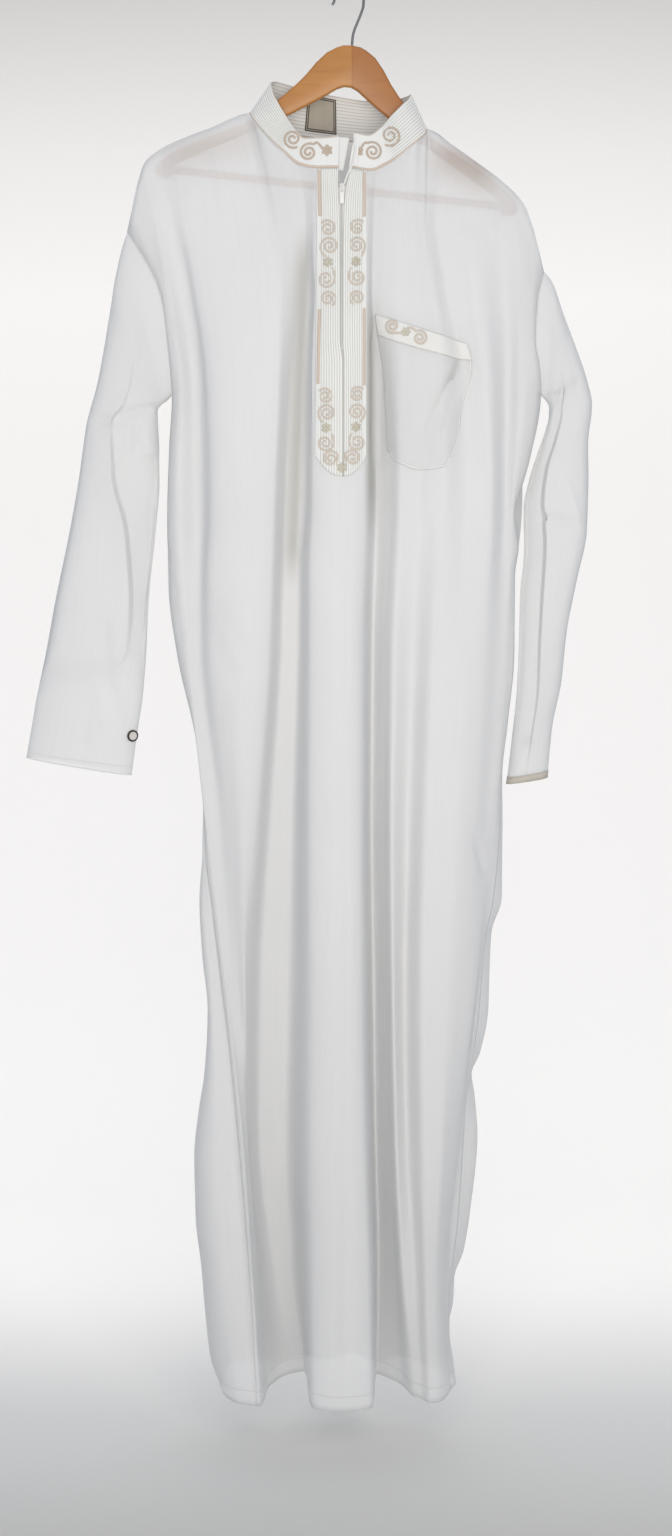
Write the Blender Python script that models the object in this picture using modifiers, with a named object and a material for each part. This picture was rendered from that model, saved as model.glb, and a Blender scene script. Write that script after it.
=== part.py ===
"""A white thobe robe, hanging on a plain wooden hanger with a trouser bar and a wire hook.

Metres, +Z up. The origin is the inside top of the hook, where the rail holds it. The robe's front faces -Y
and +X is on the wearer's left. Tables are in millimetres. The cloth is open folds in a wall of even thickness:
each fold line runs from the shoulder or the neck down to the hem, and each height's section is a smooth line
through those folds.
"""

import math

import bmesh
import bpy
import numpy as np
from mathutils import Vector
from mathutils.bvhtree import BVHTree

MM = 0.001

# Cloth and seams
WALL = 1.6  # thickness of the cloth's wall
SEAM = 0.18  # each piece ends this far from the seam line, so two pieces are 0.3 apart
LAY_GAP = 0.5  # between a panel and a piece that lies on it
TOUCH = 0.3  # between hard pieces that meet
UNDERARM_Z = -460
HEM_Z = -1667
ARMHOLE_OPEN = {-1: 10, 1: 16}  # how far the armhole opens to the front and to the back at its middle
CROWN = 12  # over this drop the shoulder rolls from the seam on top to the panel's face
NECK_ROLL = 60  # the same, from the collar's foot
AHEAD = 400  # in front of all the cloth
STEEPEST = 0.7  # a piece that lies on a panel keeps its gap on faces turned no further than this, as a cosine

# Where the rows of a panel lie: shares of the drop from the top edge to the underarm, and heights below it
UPPER_ROWS = (0, 0.004, 0.016, 0.045, 0.11, 0.21, 0.33, 0.47, 0.63, 0.81, 1)
LOWER_ROWS = (
    -500, -550, -595, -650, -761, -844, -910, -970, -1057, -1100, -1170, -1249, -1285, -1330, -1380, -1445, -1510,
    -1560, HEM_Z,
)

# Side seams. Rows: z, x, y
RIGHT_SEAM = (
    (-273, -256, 0), (-307, -234, -2), (-328, -223, -3), (-354, -215, -4), (-386, -211, -4), (-460, -206, -3),
    (-521, -210, -2), (-615, -213, -4), (-684, -212, -5), (-763, -202, -6), (-866, -180, -10), (-932, -172, -14),
    (-1000, -170, -20), (-1058, -163, -25), (-1150, -152, -32), (-1250, -140, -42), (-1350, -131, -50),
    (-1520, -118, -60), (-1667, -110, -66),
)
LEFT_SEAM = (
    (-318, 226, 0), (-351, 218, -2), (-396, 216, -3), (-431, 222, -3), (-460, 224, -2), (-534, 212, -2),
    (-566, 203, -2), (-594, 195, -2), (-638, 200, -3), (-663, 196, -3), (-761, 196, -4), (-844, 189, -4),
    (-910, 182, -5), (-968, 181, -6), (-1057, 174, -8), (-1098, 166, -8), (-1150, 161, -8), (-1193, 158, -9),
    (-1249, 151, -9), (-1300, 143, -10), (-1353, 140, -10), (-1445, 135, -11), (-1520, 127, -12),
    (-1593, 120, -12), (-1667, 127, -13),
)

# Heights at which the fold lines are given, from the top of the chest to the hem
LEVELS = (-260, -330, -450, -580, -750, -950, -1150, -1350, -1520, HEM_Z)

# Fold lines of the front, from the wearer's right to the left. Columns: name, columns of faces up to the next
# line, top (x, y, z), and then (x, y) at each of the levels
FRONT_FOLDS = (
    ("arm_ridge", 1, (-236, 0, -197),
     ((-224, -14), (-211, -19), (-194, -21), (-200, -20), (-190, -20), (-171, -24), (-147, -38), (-126, -54),
      (-115, -62), (-107, -66))),
    ("arm_valley", 2, (-218, 0, -181),
     ((-204, -11), (-191, -11), (-179, -10), (-177, -9), (-177, -16), (-155, -26), (-141, -36), (-123, -46),
      (-112, -46), (-102, -44))),
    ("chest_right_side", 2, (-200, 0, -172),
     ((-189, -14), (-177, -22), (-163, -34), (-162, -40), (-161, -38), (-142, -36), (-131, -38), (-120, -36),
      (-109, -26), (-99, -12))),
    ("chest_right_middle", 2, (-160, 0, -157),
     ((-134, -18), (-127, -30), (-119, -44), (-118, -52), (-122, -52), (-124, -46), (-124, -42), (-119, -22),
      (-106, -4), (-90, 10))),
    ("right_valley_lip", 4, (-114, 0, -140),
     ((-87, -22), (-80, -32), (-82, -42), (-87, -46), (-93, -44), (-108, -40), (-119, -32), (-116, -6),
      (-102, 14), (-81, 26))),
    ("right_valley", 1, (-58, -33, -200),
     ((-50, -26), (-52, -22), (-65, -20), (-72, -16), (-77, -10), (-91, -2), (-105, 6), (-109, 14), (-93, 28),
      (-69, 36))),
    ("right_recess", 2, (-47, -36, -204),
     ((-45, -29), (-47, -26), (-54, -22), (-58, -18), (-61, -10), (-68, 0), (-73, 12), (-78, 22), (-71, 34),
      (-56, 42))),
    ("ridge_right_edge", 2, (-37, -37, -205),
     ((-38, -34), (-41, -38), (-45, -46), (-44, -52), (-44, -56), (-45, -60), (-44, -62), (-45, -64),
      (-44, -66), (-44, -68))),
    ("slit_right_edge", 2, (-14, -38, -205),
     ((-15, -38), (-15, -44), (-15, -52), (-15, -60), (-15, -66), (-15, -70), (-15, -73), (-15, -76),
      (-15, -79), (-15, -82))),
    ("slit_left_edge", 2, (1, -38, -205),
     ((0, -38), (0, -44), (0, -52), (0, -60), (-1, -66), (-2, -70), (-3, -73), (-4, -76), (-5, -79),
      (-5, -82))),
    ("ridge_left_edge", 2, (21, -36.5, -208),
     ((21, -34), (21, -38), (21, -46), (20, -52), (15, -56), (15, -60), (16, -62), (20, -64), (26, -66),
      (29, -68))),
    ("left_recess", 2, (33, -34, -205),
     ((29, -28), (28, -26), (32, -22), (33, -18), (29, -12), (28, -4), (31, 6), (34, 16), (38, 26), (37, 34))),
    ("left_recess_lip", 1, (43, -31, -200),
     ((40, -26), (39, -28), (44, -30), (47, -30), (41, -30), (41, -26), (44, -22), (48, -16), (56, -8),
      (66, 0))),
    ("small_ridge", 1, (58, -25, -190),
     ((54, -24), (55, -30), (60, -40), (60, -44), (53, -46), (51, -46), (53, -46), (58, -44), (68, -40),
      (79, -34))),
    ("small_valley", 2, (74, -17, -177),
     ((73, -20), (77, -30), (81, -42), (81, -46), (75, -34), (70, -28), (67, -26), (70, -30), (80, -40),
      (90, -44))),
    ("chest_left_middle", 2, (90, 0, -158),
     ((89, -18), (95, -30), (105, -44), (107, -50), (99, -52), (92, -52), (88, -54), (91, -56), (95, -56),
      (100, -56))),
    ("shoulder_valley", 2, (112, 0, -171),
     ((100, -15), (111, -20), (135, -28), (139, -36), (132, -46), (124, -50), (116, -52), (110, -54),
      (104, -54), (108, -54))),
    ("side_ridge", 1, (143, 0, -192),
     ((136, -14), (146, -26), (159, -36), (163, -38), (157, -38), (149, -38), (138, -40), (122, -42),
      (112, -44), (116, -46))),
    ("side_valley", 1, (180, 0, -219),
     ((176, -11), (182, -11), (185, -10), (185, -12), (177, -20), (164, -24), (153, -26), (131, -28),
      (118, -30), (121, -34))),
    ("side_lip", 1, (205, 0, -247),
     ((197, -11), (198, -16), (199, -22), (192, -16), (187, -14), (176, -14), (157, -14), (136, -16),
      (123, -18), (124, -22))),
)

# Fold lines of the back, in the same form. Its first two lines and its last one turn round to the front, where
# they make the robe's outline. Those have rows of z, x, y
WRAP = (
    (-258, -253, 6), (-310, -227, 14), (-354, -210, 16), (-400, -206, 15), (-460, -205, 3), (-521, -210, 3),
    (-684, -212, 2), (-763, -203, 2), (-866, -181, -2), (-932, -173, -8), (-1000, -174, -16), (-1058, -174, -22),
    (-1150, -166, -32), (-1250, -163, -40), (-1350, -165, -46), (-1520, -156, -52), (-1667, -138, -54),
)
RIGHT_TURN = (
    (-235, -247, 10), (-300, -225, 17), (-354, -204, 20), (-400, -199, 20), (-460, -201, 10), (-521, -208, 10),
    (-615, -211, 12), (-684, -210, 12), (-763, -202, 12), (-866, -181, 8), (-932, -172, 0), (-974, -171, -6),
    (-1012, -175, -10),
    (-1058, -178, -14), (-1123, -175, -16), (-1186, -169, -18), (-1220, -170, -18), (-1270, -174, -16),
    (-1314, -181, -14), (-1373, -187, -12), (-1450, -186, -10), (-1507, -180, -10), (-1573, -175, -10),
    (-1628, -169, -10), (-1667, -156, -10),
)
LEFT_TURN = (
    (-275, 215, 10), (-330, 209, 15), (-396, 206, 17), (-460, 217, 10), (-534, 211, 9), (-566, 202, 9),
    (-594, 195, 9), (-638, 200, 9), (-663, 196, 9), (-761, 197, 9), (-844, 190, 9), (-910, 184, 9),
    (-968, 185, 8), (-1057, 185, 8), (-1098, 173, 8), (-1141, 171, 8), (-1193, 170, 8), (-1249, 160, 8),
    (-1273, 150, 8), (-1300, 154, 8), (-1353, 158, 8), (-1445, 150, 8), (-1498, 142, 8), (-1530, 131, 8),
    (-1561, 130, 8), (-1593, 124, 8), (-1635, 130, 8), (-1667, 134, 8),
)
BACK_FOLDS = (
    ("wrap", 1, (-253, 0, -259), WRAP),
    ("right_turn", 1, (-247, 0, -237), RIGHT_TURN),
    ("right_back", 2, (-236, 0, -197),
     ((-226, 16), (-208, 24), (-196, 26), (-200, 34), (-190, 36), (-165, 38), (-164, 36), (-176, 40),
      (-170, 46), (-152, 52))),
    ("shoulder_blade_right", 2, (-190, 0, -168),
     ((-172, 20), (-160, 34), (-155, 38), (-158, 44), (-150, 46), (-135, 50), (-135, 54), (-140, 62),
      (-138, 74), (-122, 84))),
    ("back_valley_right", 2, (-150, 0, -153.5),
     ((-125, 22), (-115, 34), (-112, 42), (-112, 38), (-108, 38), (-104, 44), (-104, 58), (-108, 66),
      (-104, 74), (-92, 70))),
    ("back_ridge_right", 4, (-114, 0, -140),
     ((-76, 34), (-70, 40), (-68, 46), (-66, 54), (-64, 58), (-66, 66), (-68, 72), (-70, 82), (-68, 90),
      (-60, 96))),
    ("back_middle_valley", 2, (-60, 38, -160),
     ((-32, 42), (-30, 42), (-30, 44), (-30, 44), (-30, 44), (-32, 48), (-34, 56), (-36, 66), (-34, 74),
      (-28, 80))),
    ("back_middle_ridge", 2, (-12, 42, -165),
     ((4, 42), (5, 44), (5, 48), (5, 54), (5, 58), (4, 64), (2, 74), (0, 88), (2, 98), (4, 104))),
    ("back_valley_left", 4, (38, 39, -168),
     ((38, 40), (40, 42), (40, 44), (42, 44), (42, 44), (40, 50), (38, 58), (36, 66), (36, 72), (38, 76))),
    ("back_ridge_left", 2, (90, 0, -158),
     ((76, 30), (80, 38), (80, 46), (84, 54), (82, 58), (78, 62), (72, 68), (66, 76), (66, 86), (68, 92))),
    ("shoulder_blade_left", 2, (124, 0, -179),
     ((112, 20), (120, 34), (122, 40), (124, 40), (120, 40), (112, 44), (104, 52), (94, 58), (92, 62),
      (96, 66))),
    ("side_fold_left", 1, (162, 0, -206),
     ((156, 18), (165, 28), (165, 34), (168, 40), (158, 46), (146, 48), (134, 48), (118, 50), (111, 52),
      (116, 56))),
    ("left_back", 1, (198, 0, -237),
     ((190, 14), (196, 20), (203, 24), (206, 27), (188, 30), (174, 32), (160, 32), (146, 32), (128, 34),
      (126, 36))),
    ("left_turn", 1, (215, 0, -277), LEFT_TURN),
)

# The collar band's stations, from its front end on the wearer's right, round the back, to its other front end.
# Columns: base x, y, z, and then top x, y, z
COLLAR = (
    ((-12, -38, -204.6), (-11, -33, -170)),
    ((-34, -37, -204.6), (-31, -32, -172)),
    ((-55, -34, -201), (-50, -29, -172)),
    ((-73, -28, -187), (-61, -25, -162)),
    ((-88, -22, -173), (-70, -20, -149)),
    ((-104, -15, -155), (-81, -15, -131)),
    ((-111, -9, -145), (-87, -8, -119)),
    ((-114, 0, -139.5), (-90, 2, -106)),
    ((-111, 10, -143), (-88, 12, -103)),
    ((-103, 20, -149), (-84, 22, -102)),
    ((-88, 30, -155), (-75, 33, -103)),
    ((-60, 38, -159.4), (-54, 40, -108)),
    ((-12, 42, -164.4), (-13, 43, -116)),
    ((28, 41, -166.6), (24, 42, -121)),
    ((60, 32, -167), (52, 36, -121)),
    ((80, 21, -165), (64, 24, -119.5)),
    ((87, 10, -161), (70, 12, -119)),
    ((90, 0, -157.5), (72, 0, -119)),
    ((88, -9, -163.5), (69, -8, -125)),
    ((81, -15, -170), (62, -15, -132)),
    ((69, -20, -180), (50, -18, -144)),
    ((43, -31, -199.6), (36, -26, -160)),
    ((24, -36, -207.4), (22, -31, -169)),
    ((3, -38, -204.6), (6, -33, -166)),
)
COLLAR_ROWS = 3
NECK_SEAM = 0.5  # the collar's foot stands this far above the panels' top edge
RIGHT_NECK = 7  # the collar's station on each shoulder seam
LEFT_NECK = 17

# Sleeves, from the armhole to the cuff. Columns: outer edge x, z; inner edge x, z; middle y; depth; where its
# long fold lies, as a share of the way across; how far the cloth steps back there
RIGHT_SLEEVE = (
    (-264, -297, -212, -466, 2, 30, 0.50, 0),
    (-275, -350, -219, -471, 3, 36, 0.50, 0),
    (-284, -400, -223, -478, 4, 40, 0.50, 2),
    (-293, -444, -223, -492, 5, 42, 0.45, 4),
    (-307, -494, -222, -517, 5, 42, 0.34, 6),
    (-316, -552, -222, -560, 5, 42, 0.42, 14),
    (-327, -611, -227, -618, 4, 42, 0.64, 17),
    (-347, -703, -236, -700, 2, 40, 0.80, 12),
    (-358, -760, -239, -756, 0, 36, 0.80, 3),
    (-368, -806, -243, -805, -2, 34, 0.60, 0),
    (-376, -848, -250, -852, -3, 32, 0.50, 0),
    (-383, -885, -258, -906, -4, 30, 0.50, 0),
)
LEFT_SLEEVE = (
    (236, -330, 230, -466, 3, 28, 0.50, 0),
    (248, -362, 234, -474, 4, 34, 0.50, 0),
    (264, -402, 234, -487, 6, 38, 0.50, 2),
    (278, -440, 229, -505, 8, 42, 0.60, 6),
    (285, -472, 221, -528, 8, 44, 0.66, 12),
    (281, -515, 212, -558, 8, 44, 0.70, 14),
    (282, -559, 206, -592, 8, 44, 0.70, 14),
    (281, -616, 207, -640, 8, 42, 0.66, 14),
    (270, -675, 203, -692, 8, 40, 0.60, 14),
    (259, -735, 202, -750, 8, 38, 0.56, 12),
    (253, -797, 200, -808, 8, 34, 0.52, 8),
    (243, -850, 195, -862, 8, 30, 0.50, 4),
    (238, -910, 189, -918, 8, 26, 0.50, 0),
)
FOLD_WIDTH = 0.05  # of the way across a sleeve, where its fold steps back
COLUMNS_BEFORE_FOLD = 0.55  # this share of a sleeve's columns lies outside its fold
EDGE_CROWDING = 1.3  # above 1, the columns stand closer at a sleeve's two edges than at its fold
EASE_RINGS = 3  # over these rings the columns pass from the armhole's spacing to the sleeve's own

# Placket
PLACKET_TOP = -209.5
PLACKET_CORNER = -529
PLACKET_TIP = -553
PLACKET_EDGES = ((PLACKET_TIP, -39, 20), (PLACKET_TOP, -36, 20))  # z, x of the right edge, x of the left edge
PLACKET_ROWS = 9
TIP_ROUNDING = 2.2  # power of the curve from the placket's corners to its tip
PLACKET_RIBS = 7  # in each half
RIB_HEIGHT = 0.6
# The slit between its halves. Rows: z, middle x, half of its width
SLIT = (
    (-420, -6.5, 1.0), (-397, -8.5, 1.6), (-300, -8.5, 1.8), (-245, -8.5, 3.0), (-228, -8.0, 4.4),
    (-205, -4.5, 7.2),
)
SLIT_END = -405
SLIT_OVERLAP = 20  # the rows of faces that reach past the slit's end by less than this are open too
PANEL_SLIT_END = -415

# Zip
TAPE = 1.0
TAPE_ROWS = 8
TAPE_TOP = -208.5
TAPE_END = -409
TAPE_INSET = 1.6  # from the fold lines at the panel's slit
TAPE_BESIDE_SLIT = 1.2  # how far an open tape shows beside the placket's half
SLIDER_Z = -227.5
SLIDER = (6.0, 3.6, 9.0)
BRIDGE = (2.2, 2.6, 5.0)
BRIDGE_BAR = 1.0
PULL = (5.0, 0.9, 18.0)
PULL_EYE = (3.0, 3.6)  # width and length of its hole, which the bridge passes through
PULL_DROP = 0.75  # the eye's bar hangs this far below the middle of the bridge

# Chest pocket. Rows of its sides: share of the way down, x of the right side, x of the left side
POCKET_SIDES = ((0, 30, 136), (0.2, 34, 142), (0.4, 39, 137), (0.6, 41, 130), (0.8, 43, 127), (1, 45, 119))
POCKET_TOP = (-369, -402)
# Rows of its lower edge: share of the way across, z
POCKET_FOOT = ((0, -524), (0.12, -536), (0.5, -546), (0.85, -543), (1, -528))
POCKET_GAP = 1.4
POCKET_BELLY = 3.0
POCKET_GRID = (10, 8)
BAND_HEIGHT = 23
BAND_WALL = 1.2
BAND_GAP = 0.9

# Neck label, as the collar's stations and shares of its height that it spans
LABEL_STATIONS = (11.2, 11.95)
LABEL_HEIGHTS = (0.06, 0.84)
LABEL_THICK = 0.8

# Buttons: each one's name, its sleeve, and a line back along which it is set on the cloth, as start and way
BUTTON_RADIUS = 7.0
BUTTON_THICK = 3.0
BUTTON_GAP = 0.6
BUTTON_RIM = 0.8
BUTTONS = (
    ("cuff_button_right", "sleeve_right", (-223, -36, -863), (0.79, -0.6, -0.12)),
    ("cuff_button_left", "sleeve_left", (213, 55, -868), (-0.05, 1, 0)),
)

# Hanger, in its own frame: the apex of the wood is its origin, and it hangs tilted down to the wearer's left
HANGER_TILT = math.radians(6.2)
HANGER_APEX = (3.5, -65.0)
HANGER_THICK = 10
HANGER_ROUND = 3
# Half outline, from the apex along the top to the tip, and back along the lower edge: distance out, height
ARM_TOP = (
    (0, 0), (10, -1), (17, -4), (28, -11), (39, -23.5), (49, -38), (59, -50), (72, -63.5), (82, -73),
    (94, -85.5), (108, -96), (130, -107), (154, -118.5), (178, -132), (196, -143.5), (206, -153), (210, -161),
)
ARM_TIP = ((209, -166), (205, -169), (197, -170), (190, -167))
ARM_LOW = ((188, -154), (172, -144), (140, -126.5), (107, -108.5), (64, -85), (30, -63), (12, -50), (4, -46.5))
BAR_HEIGHT = -160
BAR_RADIUS = 4.5
BAR_HALF = 187.3

# Hook
WIRE = 3.0
HOOK_STEPS = 12
HOOK_RADIUS = 16.75  # to the middle of the wire
HOOK_SHANK = ((3.6, -64.5), (4.0, -58), (5.2, -51), (9.0, -41), (14.0, -29), (16.4, -21))
HOOK_END = ((-17.2, -17), (-19, -20))


def smooth(knots, values, wanted):
    """Values at the wanted places on a monotone cubic through the knots, which never overshoots them."""
    knots = np.asarray(knots, float)
    values = np.asarray(values, float)
    if values.ndim == 1:
        return smooth(knots, values[:, None], wanted)[..., 0]
    wanted = np.clip(np.asarray(wanted, float), knots[0], knots[-1])
    slopes = np.diff(values, axis=0) / np.diff(knots)[:, None]
    before = slopes[:-1]
    after = slopes[1:]
    same = before * after > 0
    tangents = np.vstack([slopes[:1], np.zeros_like(before), slopes[-1:]])
    tangents[1:-1] = np.where(same, 2 * before * after / np.where(same, before + after, 1), 0)
    cell = np.clip(np.searchsorted(knots, wanted, side="right") - 1, 0, len(knots) - 2)
    width = (knots[cell + 1] - knots[cell])[..., None]
    t = (wanted - knots[cell])[..., None] / width
    start = values[cell] * (1 + 2 * t) * (1 - t) ** 2 + tangents[cell] * width * t * (1 - t) ** 2
    end = values[cell + 1] * t * t * (3 - 2 * t) - tangents[cell + 1] * width * t * t * (1 - t)
    return start + end


def at_height(rows, z):
    """x and y of a line, from its rows of z, x, y, at the height z."""
    table = np.array(rows, float)[::-1]
    return smooth(table[:, 0], table[:, 1:], z)


def fold_rows(levels):
    """A fold's rows of z, x, y: either already so, or as x, y at each of LEVELS."""
    if len(levels[0]) == 3:
        return levels
    return tuple((z, x, y) for z, (x, y) in zip(LEVELS, levels))


def fold_point(top, rows, z):
    """A fold line's point at the height z, rolled over the shoulder or out from the neck at its top."""
    first = rows[0][0]
    line = [row for row in rows if row[0] < top[2] - 1]
    x = at_height([(top[2], top[0], 0), *line], z)[0]
    face = at_height(line, min(z, first))[1]
    roll = CROWN if top[1] == 0 else NECK_ROLL
    turn = 1 - min((top[2] - z) / roll, 1)
    return x, top[1] + (face - top[1]) * math.sqrt(1 - turn * turn), z


def armhole_point(seam, share, side):
    """A point of an armhole's edge, at a share of the way down it, on the front (-1) or the back (1)."""
    top = seam[0][0]
    z = top + share * (UNDERARM_Z - top)
    x, y = at_height(seam, z)
    return x, y + side * ARMHOLE_OPEN[side] * math.sqrt(max(0, 1 - (2 * share - 1) ** 2)), z


def section(points, counts):
    """A smooth line through one row's fold points, with a fixed count of columns from fold to fold."""
    points = np.array(points, float)
    run = np.concatenate([[0], np.cumsum(np.linalg.norm(np.diff(points, axis=0), axis=1))])
    spans = [np.linspace(run[i], run[i + 1], count, endpoint=False) for i, count in enumerate(counts)]
    return smooth(run, points, np.concatenate([*spans, run[-1:]]))


def collar_point(station, height):
    """A point of the collar's outer face, at a station and a share of its height."""
    stations = np.arange(len(COLLAR))
    base = smooth(stations, [row[0] for row in COLLAR], station)
    top = smooth(stations, [row[1] for row in COLLAR], station)
    return base + (top - base) * np.asarray(height)[..., None]


def in_neck(x):
    """Which of the columns at x end at the neck and not on a shoulder."""
    return (x > COLLAR[RIGHT_NECK][0][0] + 1) & (x < COLLAR[LEFT_NECK][0][0] - 1)


def neck_stations(x, side):
    """The collar's stations that stand over the panels' columns at x, on the front (-1) or the back (1)."""
    foot = np.array([row[0][0] for row in COLLAR], float)
    stations = np.arange(len(COLLAR))
    if side > 0:
        return np.interp(x, foot[RIGHT_NECK : LEFT_NECK + 1], stations[RIGHT_NECK : LEFT_NECK + 1])
    right = np.interp(x, foot[RIGHT_NECK::-1], stations[RIGHT_NECK::-1])
    left = np.interp(x, foot[: LEFT_NECK - 1 : -1], stations[: LEFT_NECK - 1 : -1])
    return np.where(x < (foot[0] + foot[-1]) / 2, right, left)


def panel(folds, side):
    """The grid of one panel's outer points, from the wearer's right seam to the left one, on one side."""
    counts = [2 if side < 0 else 1] + [fold[1] for fold in folds]
    rows = []
    for share in UPPER_ROWS:
        line = [armhole_point(RIGHT_SEAM, share, side)]
        for _, _, top, levels in folds:
            line.append(fold_point(top, fold_rows(levels), top[2] + share * (UNDERARM_Z - top[2])))
        line.append(armhole_point(LEFT_SEAM, share, side))
        rows.append(section(line, counts))
    for z in LOWER_ROWS:
        line = [(*at_height(fold_rows(levels), z), z) for _, _, _, levels in folds]
        line.insert(0, (*at_height(RIGHT_SEAM, z), z))
        line.append((*at_height(LEFT_SEAM, z), z))
        rows.append(section(line, counts))
    grid = np.array(rows)
    x = grid[0, :, 0]
    neck = in_neck(x)
    stations = neck_stations(x[neck], side)
    shift = np.zeros_like(grid[0])
    shift[neck] = collar_point(stations, 0) - (0, 0, NECK_SEAM) - grid[0, neck]
    for row, share in enumerate(UPPER_ROWS):
        grid[row] += shift * (1 - share) ** 4
    return grid, stations


def sleeve(armhole, rows):
    """The rings of one sleeve's outer points. Each ring runs down the front from the top, and up the back."""
    half = len(UPPER_ROWS) - 1
    before = round(half * COLUMNS_BEFORE_FOLD)
    rings = [armhole]
    for number, (outer_x, outer_z, inner_x, inner_z, middle, depth, fold, step) in enumerate(rows, 1):
        even = 0.5 - 0.5 * np.cos(np.linspace(0, math.pi, half + 1))
        folded = np.concatenate([
            fold * np.linspace(0, 1, before + 1) ** EDGE_CROWDING,
            1 - (1 - fold - FOLD_WIDTH) * np.linspace(1, 0, half - before) ** EDGE_CROWDING,
        ])
        ease = min(number / EASE_RINGS, 1)
        share = (1 - ease) * np.array(UPPER_ROWS) + ease * (folded if step else even)
        bulge = (1 - np.abs(2 * share - 1) ** 3) ** 0.5
        front = middle - depth / 2 * bulge + step * (share > fold + FOLD_WIDTH / 2) * (share < 1)
        back = middle + depth / 2 * bulge
        x = outer_x + (inner_x - outer_x) * share
        z = outer_z + (inner_z - outer_z) * share
        down = np.stack([x, front, z], axis=1)
        up = np.stack([x, back, z], axis=1)[-2:0:-1]
        rings.append(np.vstack([down, up]))
    return np.array(rings)


def summed_normals(grid, closed=False):
    """At each point, the sum of the normals of the faces round it, weighted by their area."""
    if closed:
        grid = np.concatenate([grid, grid[:, :1]], axis=1)
    one = grid[1:, 1:] - grid[:-1, :-1]
    other = grid[:-1, 1:] - grid[1:, :-1]
    face = np.cross(one, other)
    normals = np.zeros_like(grid)
    for rows in (slice(0, -1), slice(1, None)):
        for columns in (slice(0, -1), slice(1, None)):
            normals[rows, columns] += face
    if closed:
        normals[:, 0] += normals[:, -1]
        normals = normals[:, :-1]
    return normals


def unit(vectors):
    return vectors / np.linalg.norm(vectors, axis=-1, keepdims=True)


def add_material(name, colour, roughness, metallic=0.0):
    material = bpy.data.materials.new(name)
    material.use_nodes = True
    shader = material.node_tree.nodes["Principled BSDF"]
    shader.inputs["Base Color"].default_value = (*colour, 1)
    shader.inputs["Roughness"].default_value = roughness
    shader.inputs["Metallic"].default_value = metallic
    return material


def add_object(name, mesh, material):
    body = bpy.data.objects.new(name, mesh)
    body.data.materials.clear()
    body.data.materials.append(material)
    PARTS.objects.link(body)
    return body


def wall(name, outer, inner, material, closed=False, cut=()):
    """A closed solid between two grids of points. cut holds the faces that are left out, as (row, column)."""
    rows, columns = outer.shape[:2]
    count = rows * columns
    kept = [
        (r, c) for r in range(rows - 1) for c in range(columns if closed else columns - 1) if (r, c) not in cut
    ]
    faces = []
    edges = {}
    for r, c in kept:
        after = (c + 1) % columns
        corners = (r * columns + c, r * columns + after, (r + 1) * columns + after, (r + 1) * columns + c)
        faces.append(corners)
        faces.append(tuple(count + corner for corner in reversed(corners)))
        for start, end in zip(corners, corners[1:] + corners[:1]):
            if (end, start) in edges:
                del edges[(end, start)]
            else:
                edges[(start, end)] = True
    for start, end in edges:
        faces.append((end, start, count + start, count + end))
    points = np.concatenate([outer.reshape(-1, 3), inner.reshape(-1, 3)]) * MM
    mesh = bpy.data.meshes.new(name)
    mesh.from_pydata(points.tolist(), [], faces)
    work = bmesh.new()
    work.from_mesh(mesh)
    bmesh.ops.delete(work, geom=[v for v in work.verts if not v.link_faces], context="VERTS")
    bmesh.ops.recalc_face_normals(work, faces=work.faces)
    work.to_mesh(mesh)
    work.free()
    mesh.shade_smooth()
    return add_object(name, mesh, material)


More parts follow.
